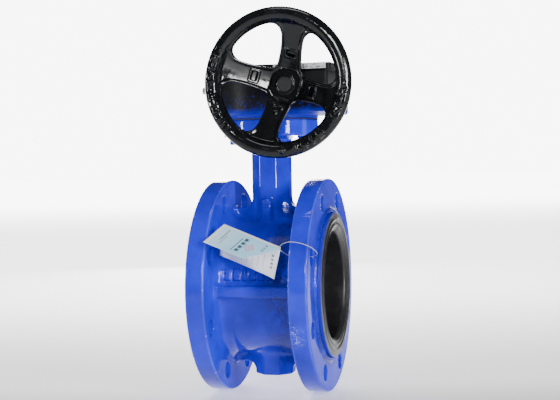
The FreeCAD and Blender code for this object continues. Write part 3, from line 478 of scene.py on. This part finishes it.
def indicator_paint():
    paint = Nodes("indicator_yellow")
    place = paint.place()
    tone = paint.noise(place, 120.0, 3.0)
    color = paint.ramp(tone, [(0.3, (0.72, 0.42, 0.02)), (0.7, (0.85, 0.55, 0.04))])
    return paint.finish(color, 0.4, 0.0, paint.bump(paint.noise(place, 500.0, 2.0), 0.0001, 0.5), 0.3, 0.15)


CYAN = (0.40, 0.75, 0.96)
PAPER_WHITE = (0.93, 0.95, 0.97)
INK = (0.020, 0.035, 0.060)
PINK = (0.72, 0.22, 0.30)


def front_paper():
    """Outer leaf: pale cyan print in a white margin, dark bars, a faint diamond and grey rows."""
    paint = Nodes("tag_front")
    u, v, _ = paint.split(paint.place("UV"))
    field = paint.box_mask(u, v, (0.055, 0.07), (1.0, 1.0))
    fade = paint.step(u, 0.0, 0.55, 0.60, 1.0)
    color = paint.mix(paint.times(field, fade), PAPER_WHITE, CYAN)
    heavy = [((0.425, 0.24), (0.440, 0.86))]
    heavy += [((0.475, 0.19 + 0.17 * i), (0.530, 0.315 + 0.17 * i)) for i in range(4)]
    heavy += [((0.540, 0.21 + 0.17 * i), (0.548, 0.30 + 0.17 * i)) for i in range(4)]
    color = paint.mix(paint.times(paint.boxes_mask(u, v, heavy), 0.92), color, INK)
    rows = [((0.155, 0.14), (0.180, 0.66)), ((0.200, 0.40), (0.215, 0.80))]
    rows += [((0.80, 0.14 + 0.11 * i), (0.845, 0.22 + 0.11 * i)) for i in range(3)]
    dashes = paint.step(paint.noise(paint.join(u, v, 0.0), 70.0, 1.0), 0.42, 0.50)
    color = paint.mix(paint.times(paint.boxes_mask(u, v, rows), dashes, 0.8), color, INK)
    spread = paint.math("ADD", paint.math("ABSOLUTE", paint.math("SUBTRACT", u, 0.635)),
                        paint.times(paint.math("ABSOLUTE", paint.math("SUBTRACT", v, 0.50)), 0.5))
    whole = paint.math("LESS_THAN", spread, 0.088)
    outline = paint.times(whole, paint.math("GREATER_THAN", spread, 0.062))
    diamond = paint.math("MAXIMUM", outline, paint.math("LESS_THAN", spread, 0.028))
    color = paint.mix(paint.times(diamond, 0.75), color, PINK)
    color = paint.mix(paint.times(whole, 0.18), color, PINK)
    fibre = paint.noise(paint.place(), 900.0, 2.0)
    return paint.finish(color, 0.42, 0.0, paint.bump(fibre, 0.00004, 0.5), 0.15, 0.2)


def back_paper():
    """Inner leaf: white with faint rows of small grey and pink marks."""
    paint = Nodes("tag_back")
    u, v, _ = paint.split(paint.place("UV"))
    rows = [((0.28 + 0.095 * i, 0.30), (0.305 + 0.095 * i, 0.86)) for i in range(6)]
    dashes = paint.step(paint.noise(paint.join(u, v, 0.0), 46.0, 1.0), 0.44, 0.54)
    marks = paint.times(paint.boxes_mask(u, v, rows), dashes, 0.6)
    color = paint.mix(marks, PAPER_WHITE, (0.42, 0.30, 0.36))
    blocks = [((0.885, 0.30 + 0.12 * i), (0.925, 0.37 + 0.12 * i)) for i in range(4)]
    color = paint.mix(paint.times(paint.boxes_mask(u, v, blocks), 0.8), color, INK)
    fibre = paint.noise(paint.place(), 900.0, 2.0)
    return paint.finish(color, 0.5, 0.0, paint.bump(fibre, 0.00004, 0.5))


def thread_fibre():
    paint = Nodes("thread")
    place = paint.place()
    twist = paint.noise(place, 2500.0, 2.0)
    color = paint.mix(twist, (0.30, 0.32, 0.38), (0.52, 0.54, 0.60))
    return paint.finish(color, 0.35, 0.0, paint.bump(twist, 0.00008, 0.5), 0.3, 0.1)


# ---------------------------------------------------------------- solids from distance fields

def smooth_union(a, b, blend):
    gap = np.maximum(blend - np.abs(a - b), 0.0) / blend
    return np.minimum(a, b) - gap * gap * blend / 4


def smooth_both(a, b, blend):
    """The part inside both fields, with its edge rounded."""
    return -smooth_union(-a, -b, blend)


def smooth_less(a, b, blend):
    """a with b taken away, with the new edge rounded."""
    return smooth_both(a, -b, blend)


def ball(x, y, z, centre, radius):
    return np.sqrt((x - centre[0]) ** 2 + (y - centre[1]) ** 2 + (z - centre[2]) ** 2) - radius


def slab(value, low, high):
    return np.abs(value - (low + high) / 2) - (high - low) / 2


def ease(value, start, end):
    """0 before start, 1 after end, smooth between."""
    t = np.clip((value - start) / (end - start), 0.0, 1.0)
    return t * t * (3.0 - 2.0 * t)


def solid(name, field, low, high, step, centre, body, stands_for, material):
    """Meshes a distance field given in millimetres about centre, and puts it on its body.

    The mesh is then pulled onto the field's zero surface, and takes its normals from the field's slope.
    """
    band = 4 * step
    low = np.array(low, np.float32)
    counts = [int(math.ceil((h - l) / step)) + 1 for l, h in zip(low, high)]
    axes = [low[i] + step * np.arange(counts[i], dtype=np.float32) for i in range(3)]
    values = field(axes[0][:, None, None], axes[1][None, :, None], axes[2][None, None, :])
    values = np.ascontiguousarray(np.clip(values, -band, band), dtype=np.float32)
    grid = openvdb.FloatGrid(band)
    grid.copyFromArray(values)
    points, quads = grid.convertToQuads(0.0)
    points = points.astype(np.float64) * step + low
    reach = 0.25 * step

    def slope(at):
        columns = []
        for axis in range(3):
            ahead, behind = at.copy(), at.copy()
            ahead[:, axis] += reach
            behind[:, axis] -= reach
            columns.append(field(*ahead.T) - field(*behind.T))
        return np.stack(columns, axis=1) / (2 * reach)

    for _ in range(2):
        way = slope(points)
        square = np.maximum((way * way).sum(1), 0.2)
        move = (field(*points.T) / square)[:, None] * way
        length = np.linalg.norm(move, axis=1, keepdims=True)
        points -= move * np.minimum(1.0, 0.5 * step / np.maximum(length, 1e-9))
    normals = slope(points)
    normals /= np.maximum(np.linalg.norm(normals, axis=1, keepdims=True), 1e-9)
    a, b, c = (points[quads[:, i]] for i in range(3))
    if (np.cross(b - a, c - a) * normals[quads[:, 0]]).sum() < 0:
        quads = quads[:, ::-1]
    mesh = bpy.data.meshes.new(name)
    mesh.from_pydata((points * MM + np.array(centre)).tolist(), [], quads.tolist())
    mesh.validate()
    mesh.polygons.foreach_set("use_smooth", [True] * len(mesh.polygons))
    mesh.normals_split_custom_set_from_vertices(normals.tolist())
    return place_piece(name, mesh, body, stands_for, material)


def place_piece(name, data, body, stands_for, material):
    piece = bpy.data.objects.new(name, data)
    bpy.context.scene.collection.objects.link(piece)
    data.materials.append(material)
    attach(piece, body)
    if stands_for:
        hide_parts(*stands_for)
    return piece


# ---------------------------------------------------------------- valve body

FLANGE_IN = in_mm("outlet_flange_plate")[0].x
FLANGE_OUT = (MOUNTS["outlet_flange"]["pos_m"][0] - CENTRE.x) / MM
RAISED_X = in_mm("outlet_flange_plate")[1].x
BARREL_R, RAISED_R, RIB_R, RIB_HALF = 80.0, 90.0, 91.5, 6.25
NECK_HALF, NECK_TOP, TOP_FLANGE_R = 22.5, in_mm("top_flange")[0].z, 56.0
LINER_R, LIP_R, LIP_X = 71.0, 85.0, in_mm("seat_liner")[1].x
STEM_BORE_R, PLUG_R, PLUG_Z = 13.0, 18.0, -96.0
BOSS_BOTTOM = in_mm("bottom_plug")[0].z
MOUNT_CIRCLE_R, MOUNT_HOLE_R = 42.0, 5.5
NECK_FOOT, WEB_TOP, WEB_REACH = 74.0, 97.0, 33.0
OVERLAP = 4.0    # how far one shape reaches into the one it grows from


def octagon(x, y, half):
    straight = np.maximum(np.abs(x), np.abs(y))
    slant = (np.abs(x) + np.abs(y)) * math.sqrt(0.5)
    return smooth_both(straight, slant, 2.2) - half


# where each raised bar of the cast marks stands along the pipe, and half its width
CAST_BARS = ((-41.0, 2.0), (-33.0, 3.5), (-22.5, 3.5), (-13.0, 2.0), (-4.0, 3.5), (6.0, 3.5), (15.0, 2.0))


def cast_marks(x, y, z):
    """Plain raised bars on the barrel's near side, where a foundry casts its data."""
    field = np.full(np.broadcast(x, y, z).shape, 9.0, np.float32)
    for middle, half_wide in CAST_BARS:
        bar = np.maximum(np.abs(x - middle) - half_wide, np.abs(z - 18.5) - 6.5)
        field = np.minimum(field, np.maximum(bar, y + 40.0))
    return field


def body_field(x, y, z):
    pattern = MOUNTS["outlet_flange"]["dims"]
    pipe_r = np.sqrt(y * y + z * z)
    stem_r = np.sqrt(x * x + y * y)
    flange_r = PLATE_HIGH.y / MM
    top_z = in_mm("top_flange")[1].z
    along = np.abs(x)

    plates = smooth_both(slab(along, FLANGE_IN, FLANGE_OUT), pipe_r - flange_r, 2.6)
    raised = smooth_both(along - RAISED_X, pipe_r - RAISED_R, 1.2)
    raised = np.maximum(raised, FLANGE_IN - along)
    plates = smooth_union(plates, raised, 1.6)
    barrel = np.maximum(pipe_r - BARREL_R, along - FLANGE_IN - OVERLAP)
    body = smooth_union(plates, barrel, 15.0)

    near_far = smooth_both(np.abs(z) - RIB_HALF, np.abs(y) - RIB_R, 2.4)
    up_down = smooth_both(np.abs(y) - RIB_HALF, np.abs(z) - RIB_R, 2.4)
    ribs = np.maximum(np.minimum(near_far, up_down), along - FLANGE_IN - OVERLAP)
    body = smooth_union(body, ribs, 5.0)

    facets = octagon(x, y, NECK_HALF)
    neck = np.maximum(facets, slab(z, NECK_FOOT, NECK_TOP + OVERLAP))
    body = smooth_union(body, neck, 13.0)
    boss = smooth_both(np.maximum(facets, z + NECK_FOOT), BOSS_BOTTOM - z, 2.4)
    body = smooth_union(body, boss, 11.0)
    # a round-topped web up the foot of the neck, on its near and far sides
    web = np.where(z < WEB_TOP, np.abs(x), np.sqrt(x * x + (z - WEB_TOP) ** 2)) - RIB_HALF
    web = smooth_both(smooth_both(web, np.abs(y) - WEB_REACH, 5.0), NECK_FOOT - z, 1.0)
    body = smooth_union(body, web, 3.5)
    top = smooth_both(stem_r - TOP_FLANGE_R, slab(z, NECK_TOP, top_z), 2.4)
    body = smooth_union(body, top, 6.0)

    marks = np.maximum(cast_marks(x, y, z), pipe_r - BARREL_R - 2.2)
    body = smooth_union(body, np.maximum(marks, BARREL_R - OVERLAP - pipe_r), 0.8)

    angle = np.arctan2(z, y)
    pitch = 2 * math.pi / pattern["count"]
    turn = np.mod(angle, pitch) - pitch / 2
    circle_r = pattern["pcd_mm"] / 2
    outward, sideways = pipe_r * np.cos(turn) - circle_r, pipe_r * np.sin(turn)
    holes = np.sqrt(outward ** 2 + sideways ** 2) - pattern["hole_r_mm"]
    body = smooth_less(body, holes, 1.3)

    outward, sideways = np.maximum(along, np.abs(y)) - MOUNT_CIRCLE_R, np.minimum(along, np.abs(y))
    mount = np.sqrt(outward ** 2 + sideways ** 2) - MOUNT_HOLE_R
    body = smooth_less(body, np.maximum(mount, NECK_TOP - 8 - z), 0.8)
    bore = np.minimum(pipe_r - LINER_R, np.maximum(pipe_r - LIP_R, LIP_X - along))
    body = np.maximum(body, -bore)
    body = np.maximum(body, STEM_BORE_R - stem_r)
    plug = np.maximum(stem_r - PLUG_R, z - PLUG_Z)
    return smooth_less(body, plug, 0.8)


BODY_NODES = ["valve_body", "barrel_top", "inlet_flange_plate", "outlet_flange_plate", "body_neck",
              "top_flange"]


def build_body(enamel):
    margin = Vector((3.0, 3.0, 3.0))
    plate = in_mm("outlet_flange_plate")[1]
    low = Vector((-plate.x, -plate.y, -plate.y)) - margin
    high = Vector((plate.x, plate.y, in_mm("top_flange")[1].z)) + margin
    solid("body_casting", body_field, low, high, 1.6, CENTRE, "valve", BODY_NODES, enamel)


# ---------------------------------------------------------------- turned parts

def lathe(name, outline, segments, body, stands_for, material):
    """Revolves a closed outline of (x, radius), in millimetres, about the pipe axis."""
    sharp_angle = 30.0
    verts, faces = [], []
    count = len(outline)
    for i in range(segments):
        turn = 2 * math.pi * i / segments
        for x, radius in outline:
            verts.append((CENTRE.x + x * MM, radius * MM * math.cos(turn), radius * MM * math.sin(turn)))
        for j in range(count):
            a, b = i * count + j, i * count + (j + 1) % count
            shift = count if i + 1 < segments else count - segments * count
            faces.append((a, b, b + shift, a + shift))
    mesh = bpy.data.meshes.new(name)
    mesh.from_pydata(verts, [], faces)
    mesh.polygons.foreach_set("use_smooth", [True] * len(faces))
    mesh.set_sharp_from_angle(angle=math.radians(sharp_angle))
    return place_piece(name, mesh, body, stands_for, material)


def arc(centre, radius, start, end, count):
    """Points of an arc, from start to end degrees."""
    points = []
    for i in range(count + 1):
        turn = math.radians(start + (end - start) * i / count)
        points.append((centre[0] + radius * math.cos(turn), centre[1] + radius * math.sin(turn)))
    return points


def build_liner(rubber):
    """Rubber sleeve whose ends turn out over both raised faces, with two moulded beads."""
    bore_r, end_x = 62.5, in_mm("outlet_seat_lip")[1].x
    bead_half, bead_r = 2.2, 1.0
    half = [(0.0, bore_r), (30.0, bore_r), (end_x - 6.5, bore_r)]
    half += arc((end_x - 6.5, bore_r + 4.0), 4.0, -90, -25, 8)
    half += [(end_x - 1.2, 66.8)]
    for bead in (70.2, 76.6):
        half += [(end_x - bead_r, bead - bead_half)]
        half += arc((end_x - bead_r, bead), bead_r, -60, 60, 6)
        half += [(end_x - bead_r, bead + bead_half)]
    half += [(end_x - 0.9, LIP_R - 1.2), (end_x - 1.6, LIP_R - 0.2)]
    half += [(LIP_X + 0.2, LIP_R - 0.2), (LIP_X + 0.2, LINER_R - 0.2)]
    other = [(-x, r) for x, r in reversed(half) if x > 0]
    nodes = ["seat_liner", "inlet_seat_lip", "outlet_seat_lip"]
    lathe("liner_sleeve", half + other, 200, "valve", nodes, rubber)


# ---------------------------------------------------------------- handwheel

RIM_R, RIM_TUBE, SPOKE_ANGLE, DOWN_SPOKE = 74.5, 7.7, 73.0, 2
HUB_Y, NOSE_R, SHAFT_HOLE_R = -77.0, 10.5, 8.3
SPOKE_THICK, SPOKE_WAIST, LIP_HIGH = 5.0, 42.0, 1.9
FLAT_R, SQUARE_HALF, BEND_R = 18.0, 16.7, 60.0
# degrees from the down spoke to a rim block's middle and to the first bar, and between bars
BLOCK_AT, BARS_AT, BAR_PITCH = 86.5, 33.0, 8.0
BAR_HALVES = (1.9, 3.2, 1.9, 3.2)


def wheel_field(x, y, z):
    """The casting about the shaft's axis; y is measured from the valve's centre."""
    rim_y = in_mm("handwheel")[0].y + RIM_TUBE
    nose_y, boss_end = in_mm("input_shaft")[0].y, in_mm("handwheel")[1].y
    radius = np.sqrt(x * x + z * z)
    rim_gap = np.sqrt((radius - RIM_R) ** 2 + (y - rim_y) ** 2)
    rim = rim_gap - RIM_TUBE

    # outline of spokes and hub, seen from the front, and the pockets in three of the spokes
    plan = np.full(radius.shape, 99.0)
    pockets = np.full(radius.shape, 99.0)
    for i in range(4):
        turn = math.radians(SPOKE_ANGLE + 90.0 * i)
        along = x * math.cos(turn) + z * math.sin(turn)
        across = np.abs(z * math.cos(turn) - x * math.sin(turn))
        towards_hub = 4.5 * ((SPOKE_WAIST - along) / 34.0) ** 2
        towards_rim = 5.0 * ((along - SPOKE_WAIST) / 27.0) ** 2
        half = 12.0 + np.where(along < SPOKE_WAIST, towards_hub, towards_rim)
        spoke = np.maximum((across - half) * 0.95, -along)
        plan = np.minimum(plan, spoke)
        if i != DOWN_SPOKE:
            pocket = smooth_both(across - 5.2, np.abs(along - 34.0) - 3.0, 2.0)
            pockets = np.minimum(pockets, pocket)
    plan = smooth_union(plan, RIM_R - 9.0 - radius, 15.0)
    turn = math.radians(SPOKE_ANGLE)
    square_u = np.abs(x * math.cos(turn) + z * math.sin(turn))
    square_v = np.abs(z * math.cos(turn) - x * math.sin(turn))
    square = smooth_both(square_u - SQUARE_HALF, square_v - SQUARE_HALF, 4.0)
    plan = smooth_union(plan, square, 3.0)

    # dished plate with a raised lip along its edges
    slope = (rim_y + 1.0 - HUB_Y) / (RIM_R - 7.0 - FLAT_R)
    front = HUB_Y + slope * np.clip(radius - FLAT_R, 0.0, None)
    bend = np.clip(radius - BEND_R, 0.0, None)
    front = front + 0.0054 * bend * bend
    lip = LIP_HIGH * (1.0 - ease(-plan, 1.2, 4.2)) * ease(radius, 17.0, 24.0)
    border = 1.1 * (1.0 - ease(np.abs(pockets - 1.0), 0.6, 1.8))
    depth = front - lip - border
    plate = np.maximum(depth - y, y - front - SPOKE_THICK) * 0.89
    plate = smooth_both(plate, plan, 1.8)
    plate = np.maximum(plate, radius - RIM_R)
    plate = smooth_less(plate, np.maximum(pockets, y - front - SPOKE_THICK + 1.8), 0.8)
    wheel = smooth_union(rim, plate, 4.5)

    hub = smooth_both(square, slab(y, HUB_Y - 1.5, HUB_Y + 6.0), 1.6)
    wheel = smooth_union(wheel, hub, 2.0)
    nose = smooth_both(radius - NOSE_R, slab(y, nose_y, HUB_Y + 3.0), 1.2)
    boss = smooth_both(radius - 11.5, slab(y, HUB_Y + 3.0, boss_end), 1.4)
    wheel = smooth_union(wheel, nose, 1.0)
    wheel = smooth_union(wheel, boss, 4.0)
    # cast pips at both sides of the nose and down the one spoke without a pocket
    for side in (-1, 1):
        pip_at = (side * 13.5 * math.cos(turn), HUB_Y + 1.5, side * 13.5 * math.sin(turn))
        wheel = smooth_union(wheel, ball(x, y, z, pip_at, 1.7), 1.0)
    down = math.radians(SPOKE_ANGLE + 180.0)
    for along, across in ((25.0, -4.5), (27.0, 5.0), (33.0, 0.5)):
        pip_x = along * math.cos(down) - across * math.sin(down)
        pip_z = along * math.sin(down) + across * math.cos(down)
        pip_y = HUB_Y + slope * (math.hypot(pip_x, pip_z) - FLAT_R)
        wheel = smooth_union(wheel, ball(x, y, z, (pip_x, pip_y, pip_z), 2.2), 1.2)
    wheel = rim_marks(wheel, x, y, z, radius, rim_gap, rim_y)
    return smooth_less(wheel, radius - SHAFT_HOLE_R, 0.8)


def rim_marks(wheel, x, y, z, radius, rim_gap, rim_y):
    """At each side of the down spoke, a raised cast block with an arrow, and plain bars that say nothing."""
    front = y - rim_y
    across = radius - RIM_R
    down = SPOKE_ANGLE + 180.0
    angle = np.degrees(np.arctan2(z, x))
    for side in (-1, 1):
        from_down = np.mod(side * (angle - down) + 180.0, 360.0) - 180.0
        arc_length = np.radians(from_down) * RIM_R
        from_mid = arc_length - math.radians(BLOCK_AT) * RIM_R
        block = smooth_both(np.abs(from_mid) - 15.5, np.abs(across) - 5.2, 3.0)
        block = smooth_both(np.maximum(block, front + 1.0), rim_gap - RIM_TUBE - 1.9, 0.8)
        wheel = smooth_union(wheel, block, 0.8)
        head = np.maximum(np.abs(across) - 0.55 * (from_mid + 12.0), from_mid + 3.0)
        shank = np.maximum(np.abs(across) - 1.5, np.abs(from_mid - 3.5) - 8.0)
        arrow = np.maximum(np.minimum(head, shank), front + 1.0)
        arrow = smooth_both(arrow, rim_gap - RIM_TUBE - 3.7, 0.6)
        wheel = smooth_union(wheel, arrow, 0.6)
        for i, half_wide in enumerate(BAR_HALVES):
            middle = math.radians(BARS_AT + BAR_PITCH * i) * RIM_R
            bar = np.maximum(np.abs(arc_length - middle) - half_wide, np.abs(across + 0.5) - 5.4)
            bar = smooth_both(np.maximum(bar, front + 1.0), rim_gap - RIM_TUBE - 3.2, 0.6)
            wheel = smooth_union(wheel, bar, 0.8)
    # one casting lump on the rim, a little past the down spoke
    turn = math.radians(down + 21.0)
    lump_at = (RIM_R * math.cos(turn), rim_y - RIM_TUBE, RIM_R * math.sin(turn))
    return smooth_union(wheel, ball(x, y, z, lump_at, 3.0), 1.5)


def build_handwheel(enamel):
    low, high = in_mm("handwheel")
    centre = Vector((WHEEL_CENTRE.x, CENTRE.y, WHEEL_CENTRE.z))
    shift = (centre - CENTRE) / MM
    margin = Vector((3.5, 3.5, 3.5))
    solid("handwheel_casting", wheel_field, low - shift - margin, high - shift + margin, 0.9,
          centre, "handwheel", ["handwheel"], enamel)


# ---------------------------------------------------------------- gearbox

WALL, BOX_CORNER, DRUM_R, STEM_HOLE_R = 8.0, 4.0, 60.0, 20.0
SHAFT_BORE_R, SHAFT_PAD_R = 12.05, 19.5
STOP_Y, STOP_BOSS_R, STOP_BORE_R = 20.0, 9.0, 4.1


def plan_field(x, y, grow, corner):
    """The gearbox seen from above: a drum about the stem with a square worm box to its right."""
    high = in_mm("gearbox_housing")[1]
    drum = np.sqrt(x * x + y * y) - DRUM_R - grow
    side = np.maximum(np.abs(y) - high.y - grow, -x)
    box = smooth_both(side, x - high.x - grow, corner)
    return np.minimum(drum, box)


def housing_field(x, y, z):
    low, high = in_mm("gearbox_housing")
    base_top, floor = low.z + 5.5, low.z + 10.0
    worm_x, worm_z = (WHEEL_CENTRE.x - CENTRE.x) / MM, WHEEL_CENTRE.z / MM
    stem_r = np.sqrt(x * x + y * y)
    shaft_r = np.sqrt((x - worm_x) ** 2 + (z - worm_z) ** 2)
    outside = smooth_both(plan_field(x, y, 0.0, BOX_CORNER), base_top - z, 4.0)
    outside = np.maximum(outside, z - high.z)
    base = smooth_both(stem_r - TOP_FLANGE_R, slab(z, low.z, base_top + OVERLAP), 1.4)
    housing = smooth_union(outside, base, 3.5)
    pad = np.maximum(shaft_r - SHAFT_PAD_R, slab(np.abs(y), high.y - 6.0, high.y + 0.4))
    housing = smooth_union(housing, pad, 1.5)
    # the two bosses that hold the stop screws
    for side in (-1, 1):
        boss_r = np.sqrt((y - side * STOP_Y) ** 2 + (z - worm_z) ** 2)
        boss = smooth_both(boss_r - STOP_BOSS_R, slab(x, -64.0, -50.0), 1.2)
        housing = smooth_union(housing, boss, 4.0)
        housing = np.maximum(housing, -np.maximum(boss_r - STOP_BORE_R, slab(x, -70.0, -40.0)))
    inside = np.maximum(plan_field(x, y, -WALL, BOX_CORNER), floor - z)
    housing = np.maximum(housing, -inside)
    housing = np.maximum(housing, STEM_HOLE_R - stem_r)
    return np.where(x > 0, np.maximum(housing, SHAFT_BORE_R - shaft_r), housing)


def build_gearbox(enamel):
    low, high = in_mm("gearbox_housing")
    margin = Vector((3.0, 3.0, 3.0))
    solid("gearbox_casting", housing_field, low - margin, high + margin, 1.5,
          CENTRE, "valve", ["gearbox_housing"], enamel)


# ---------------------------------------------------------------- tag and thread

RIDGE_RIGHT = Vector((38.0, -112.0, 52.0))
RIDGE_LEFT = Vector((-32.5, -90.0, 76.7))
FRONT_FALL = Vector((-16.5, -31.0, -17.2))
BACK_FALL = Vector((-8.7, 11.0, -37.7))
LEAF_WIDTH = 39.0
LEAF_THICK = 0.28
TUCK_FROM, CORNER_FROM = 0.70, 0.78


def leaf(name, fall, curl, side, folded, material):
    """One leaf, hanging from the ridge and curling a little.

    folded, from 0 to 1, is how much of its outer corner is tucked away.
    """
    ridge = RIDGE_RIGHT - RIDGE_LEFT
    length = ridge.length
    ridge.normalize()
    down = fall - ridge * fall.dot(ridge)
    down.normalize()
    out = ridge.cross(down).normalized() * side
    columns, rows = 48, 28
    verts, faces, spots = [], [], []
    for j in range(rows + 1):
        for i in range(columns + 1):
            u = i / columns
            v = j / rows * (1.0 - folded * max(0.0, u - TUCK_FROM) / (1.0 - TUCK_FROM))
            lift = curl * (math.sin(v * math.pi * 0.5) ** 2) * (0.45 + 0.9 * (u - 0.5) ** 2)
            lift += 0.7 * math.sin(u * math.pi) * math.sin(v * math.pi)
            lift += 2.6 * max(0.0, u - CORNER_FROM) ** 2 * v * 10
            bend = 0.04 * LEAF_WIDTH * v * v
            spot = RIDGE_LEFT + ridge * (u * length) + down * (v * LEAF_WIDTH - bend * 0.5) + out * lift
            verts.append(CENTRE + spot * MM)
            spots.append((u, v))
    wide = columns + 1
    for j in range(rows):
        for i in range(columns):
            a = j * wide + i
            faces.append((a, a + 1, a + wide + 1, a + wide))
    mesh = bpy.data.meshes.new(name)
    mesh.from_pydata(verts, [], faces)
    sheet = mesh.uv_layers.new(name="leaf")
    for loop in mesh.loops:
        sheet.data[loop.index].uv = spots[loop.vertex_index]
    mesh.polygons.foreach_set("use_smooth", [True] * len(faces))
    piece = place_piece(name, mesh, "valve", [], material)
    thick = piece.modifiers.new("thickness", "SOLIDIFY")
    thick.thickness = LEAF_THICK * MM
    thick.offset = 0.0
    return piece


THREAD_ROUTE = [
    (36.2, -113.4, 51.1), (39.7, -118.0, 55.0), (46.5, -122.5, 58.0), (55.0, -125.2, 58.8),
    (64.0, -125.0, 57.2), (72.0, -120.5, 53.6), (77.5, -111.5, 48.0), (77.0, -102.5, 43.0),
    (70.5, -98.2, 40.8), (60.0, -97.6, 40.2), (50.0, -98.2, 40.4), (43.0, -101.0, 42.4),
    (38.6, -106.8, 46.2), (36.6, -112.6, 50.3),
]
THREAD_THICK = 0.8
KNOT_SCALE = 0.36


def build_thread(fibre):
    data = bpy.data.curves.new("hang_thread", "CURVE")
    data.dimensions = "3D"
    data.bevel_depth = THREAD_THICK * MM / 2
    data.bevel_resolution = 3
    data.resolution_u = 16
    data.use_fill_caps = True
    spline = data.splines.new("NURBS")
    spline.points.add(len(THREAD_ROUTE) - 1)
    for point, spot in zip(spline.points, THREAD_ROUTE):
        point.co = (*(CENTRE + Vector(spot) * MM), 1.0)
    spline.order_u = 3
    spline.use_endpoint_u = True
    thread = place_piece("hang_thread", data, "valve", ["tag_thread"], fibre)
    knot = build_knot(fibre)


def build_knot(fibre):
    """A small overhand knot at the tag's corner, as a trefoil of thread."""
    data = bpy.data.curves.new("thread_knot", "CURVE")
    data.dimensions = "3D"
    data.bevel_depth = THREAD_THICK * MM / 2
    data.bevel_resolution = 3
    spline = data.splines.new("NURBS")
    count = 18
    spline.points.add(count - 1)
    middle = CENTRE + Vector(THREAD_ROUTE[0]) * MM
    for i, point in enumerate(spline.points):
        t = 2 * math.pi * i / count
        x = math.sin(t) + 2 * math.sin(2 * t)
        y = math.cos(t) - 2 * math.cos(2 * t)
        z = -math.sin(3 * t)
        point.co = (*(middle + Vector((x, z, y)) * KNOT_SCALE * MM), 1.0)
    spline.order_u = 3
    spline.use_cyclic_u = True
    return place_piece("thread_knot", data, "valve", [], fibre)


def build_tag(fibre):
    front = leaf("tag_front_leaf", FRONT_FALL, 2.0, 1.0, 0.88, front_paper())
    back = leaf("tag_back_leaf", BACK_FALL, 2.0, -1.0, 0.0, back_paper())
    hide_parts("paper_tag")
    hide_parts("paper_tag")
    build_thread(fibre)


# ---------------------------------------------------------------- CAD parts that stay

def finish_cad(materials):
    """Gives every CAD node that stays its material, and softens the edges of some."""
    looks = {
        "disc_metal": ["disc"],
        "stainless": ["stem", "taper_pins", "stem_key", "thrust_washer", "bush_retaining_ring"],
        "bronze": ["lower_bush", "middle_bush", "upper_bush", "wheel_bush", "front_bearing", "rear_bearing"],
        "black_rubber": ["stem_o_rings", "indicator_o_ring", "shaft_seal", "bottom_gasket"],
        "nylon": ["seal_retainer"],
        "gasket_sheet": ["mounting_gasket", "cover_gasket"],
        "zinc_steel": ["stop_screws", "stop_nuts", "cap_screws", "cover_screws", "indicator_screw"],
        "gearbox_iron": ["gearbox_cover", "bearing_cap", "rear_cap"],
        "gear_iron": ["worm_wheel"],
        "steel": ["worm", "worm_pin"],
        "blacked_steel": ["input_shaft", "handwheel_pin"],
        "indicator_yellow": ["position_indicator"],
        "label_foil": ["scale_plate", "label_plate"],
        "blue_enamel": ["bottom_plug", "mounting_bolts", "mounting_washers"],
    }
    soften = {
        "gearbox_cover": 1.0, "bearing_cap": 1.0, "rear_cap": 1.0, "mounting_bolts": 0.4, "stop_nuts": 0.4,
        "stop_screws": 0.5, "position_indicator": 0.4, "bottom_plug": 0.6, "mounting_washers": 0.3,
        "disc": 0.8,
    }
    for look, nodes in looks.items():
        for node in nodes:
            piece = frame["nodes"][node]
            piece.data.materials.clear()
            piece.data.materials.append(materials[look])
            if node in soften:
                edge = piece.modifiers.new("soft_edge", "BEVEL")
                edge.width = soften[node] * MM
                edge.segments = 3
                edge.limit_method = "ANGLE"
                edge.angle_limit = math.radians(40)
                edge.harden_normals = True


def make_materials():
    return {
        "blue_enamel": blue_enamel(),
        "disc_metal": bare_metal("disc_metal", (0.55, 0.55, 0.55), (0.38, 0.38, 0.39), 0.30, "X", 500.0),
        "stainless": bare_metal("stainless", (0.62, 0.62, 0.61), (0.48, 0.48, 0.48), 0.22),
        "bronze": bare_metal("bronze", (0.62, 0.42, 0.17), (0.42, 0.26, 0.10), 0.28),
        "black_rubber": plain_sheet("black_rubber", (0.03, 0.03, 0.03), (0.012, 0.012, 0.012), 0.5),
        "nylon": plain_sheet("nylon", (0.80, 0.78, 0.70), (0.68, 0.66, 0.58), 0.4),
        "gasket_sheet": plain_sheet("gasket_sheet", (0.035, 0.035, 0.04), (0.012, 0.012, 0.014), 0.7),
        "zinc_steel": bare_metal("zinc_steel", (0.62, 0.63, 0.64), (0.40, 0.41, 0.43), 0.30),
        "gearbox_iron": gearbox_enamel(),
        "gear_iron": bare_metal("gear_iron", (0.34, 0.34, 0.34), (0.20, 0.20, 0.20), 0.38),
        "steel": bare_metal("steel", (0.16, 0.16, 0.17), (0.05, 0.05, 0.055), 0.30, "Y"),
        "blacked_steel": plain_sheet("blacked_steel", (0.016, 0.016, 0.018), (0.006, 0.006, 0.007), 0.34,
                                     500.0),
        "indicator_yellow": indicator_paint(),
        "label_foil": label_foil(),
    }


add_camera()
build_tag(thread_fibre())
add_floor()
add_light()
materials = make_materials()
build_body(materials["blue_enamel"])
build_liner(seat_rubber())
build_handwheel(wheel_enamel())
build_gearbox(materials["gearbox_iron"])
finish_cad(materials)
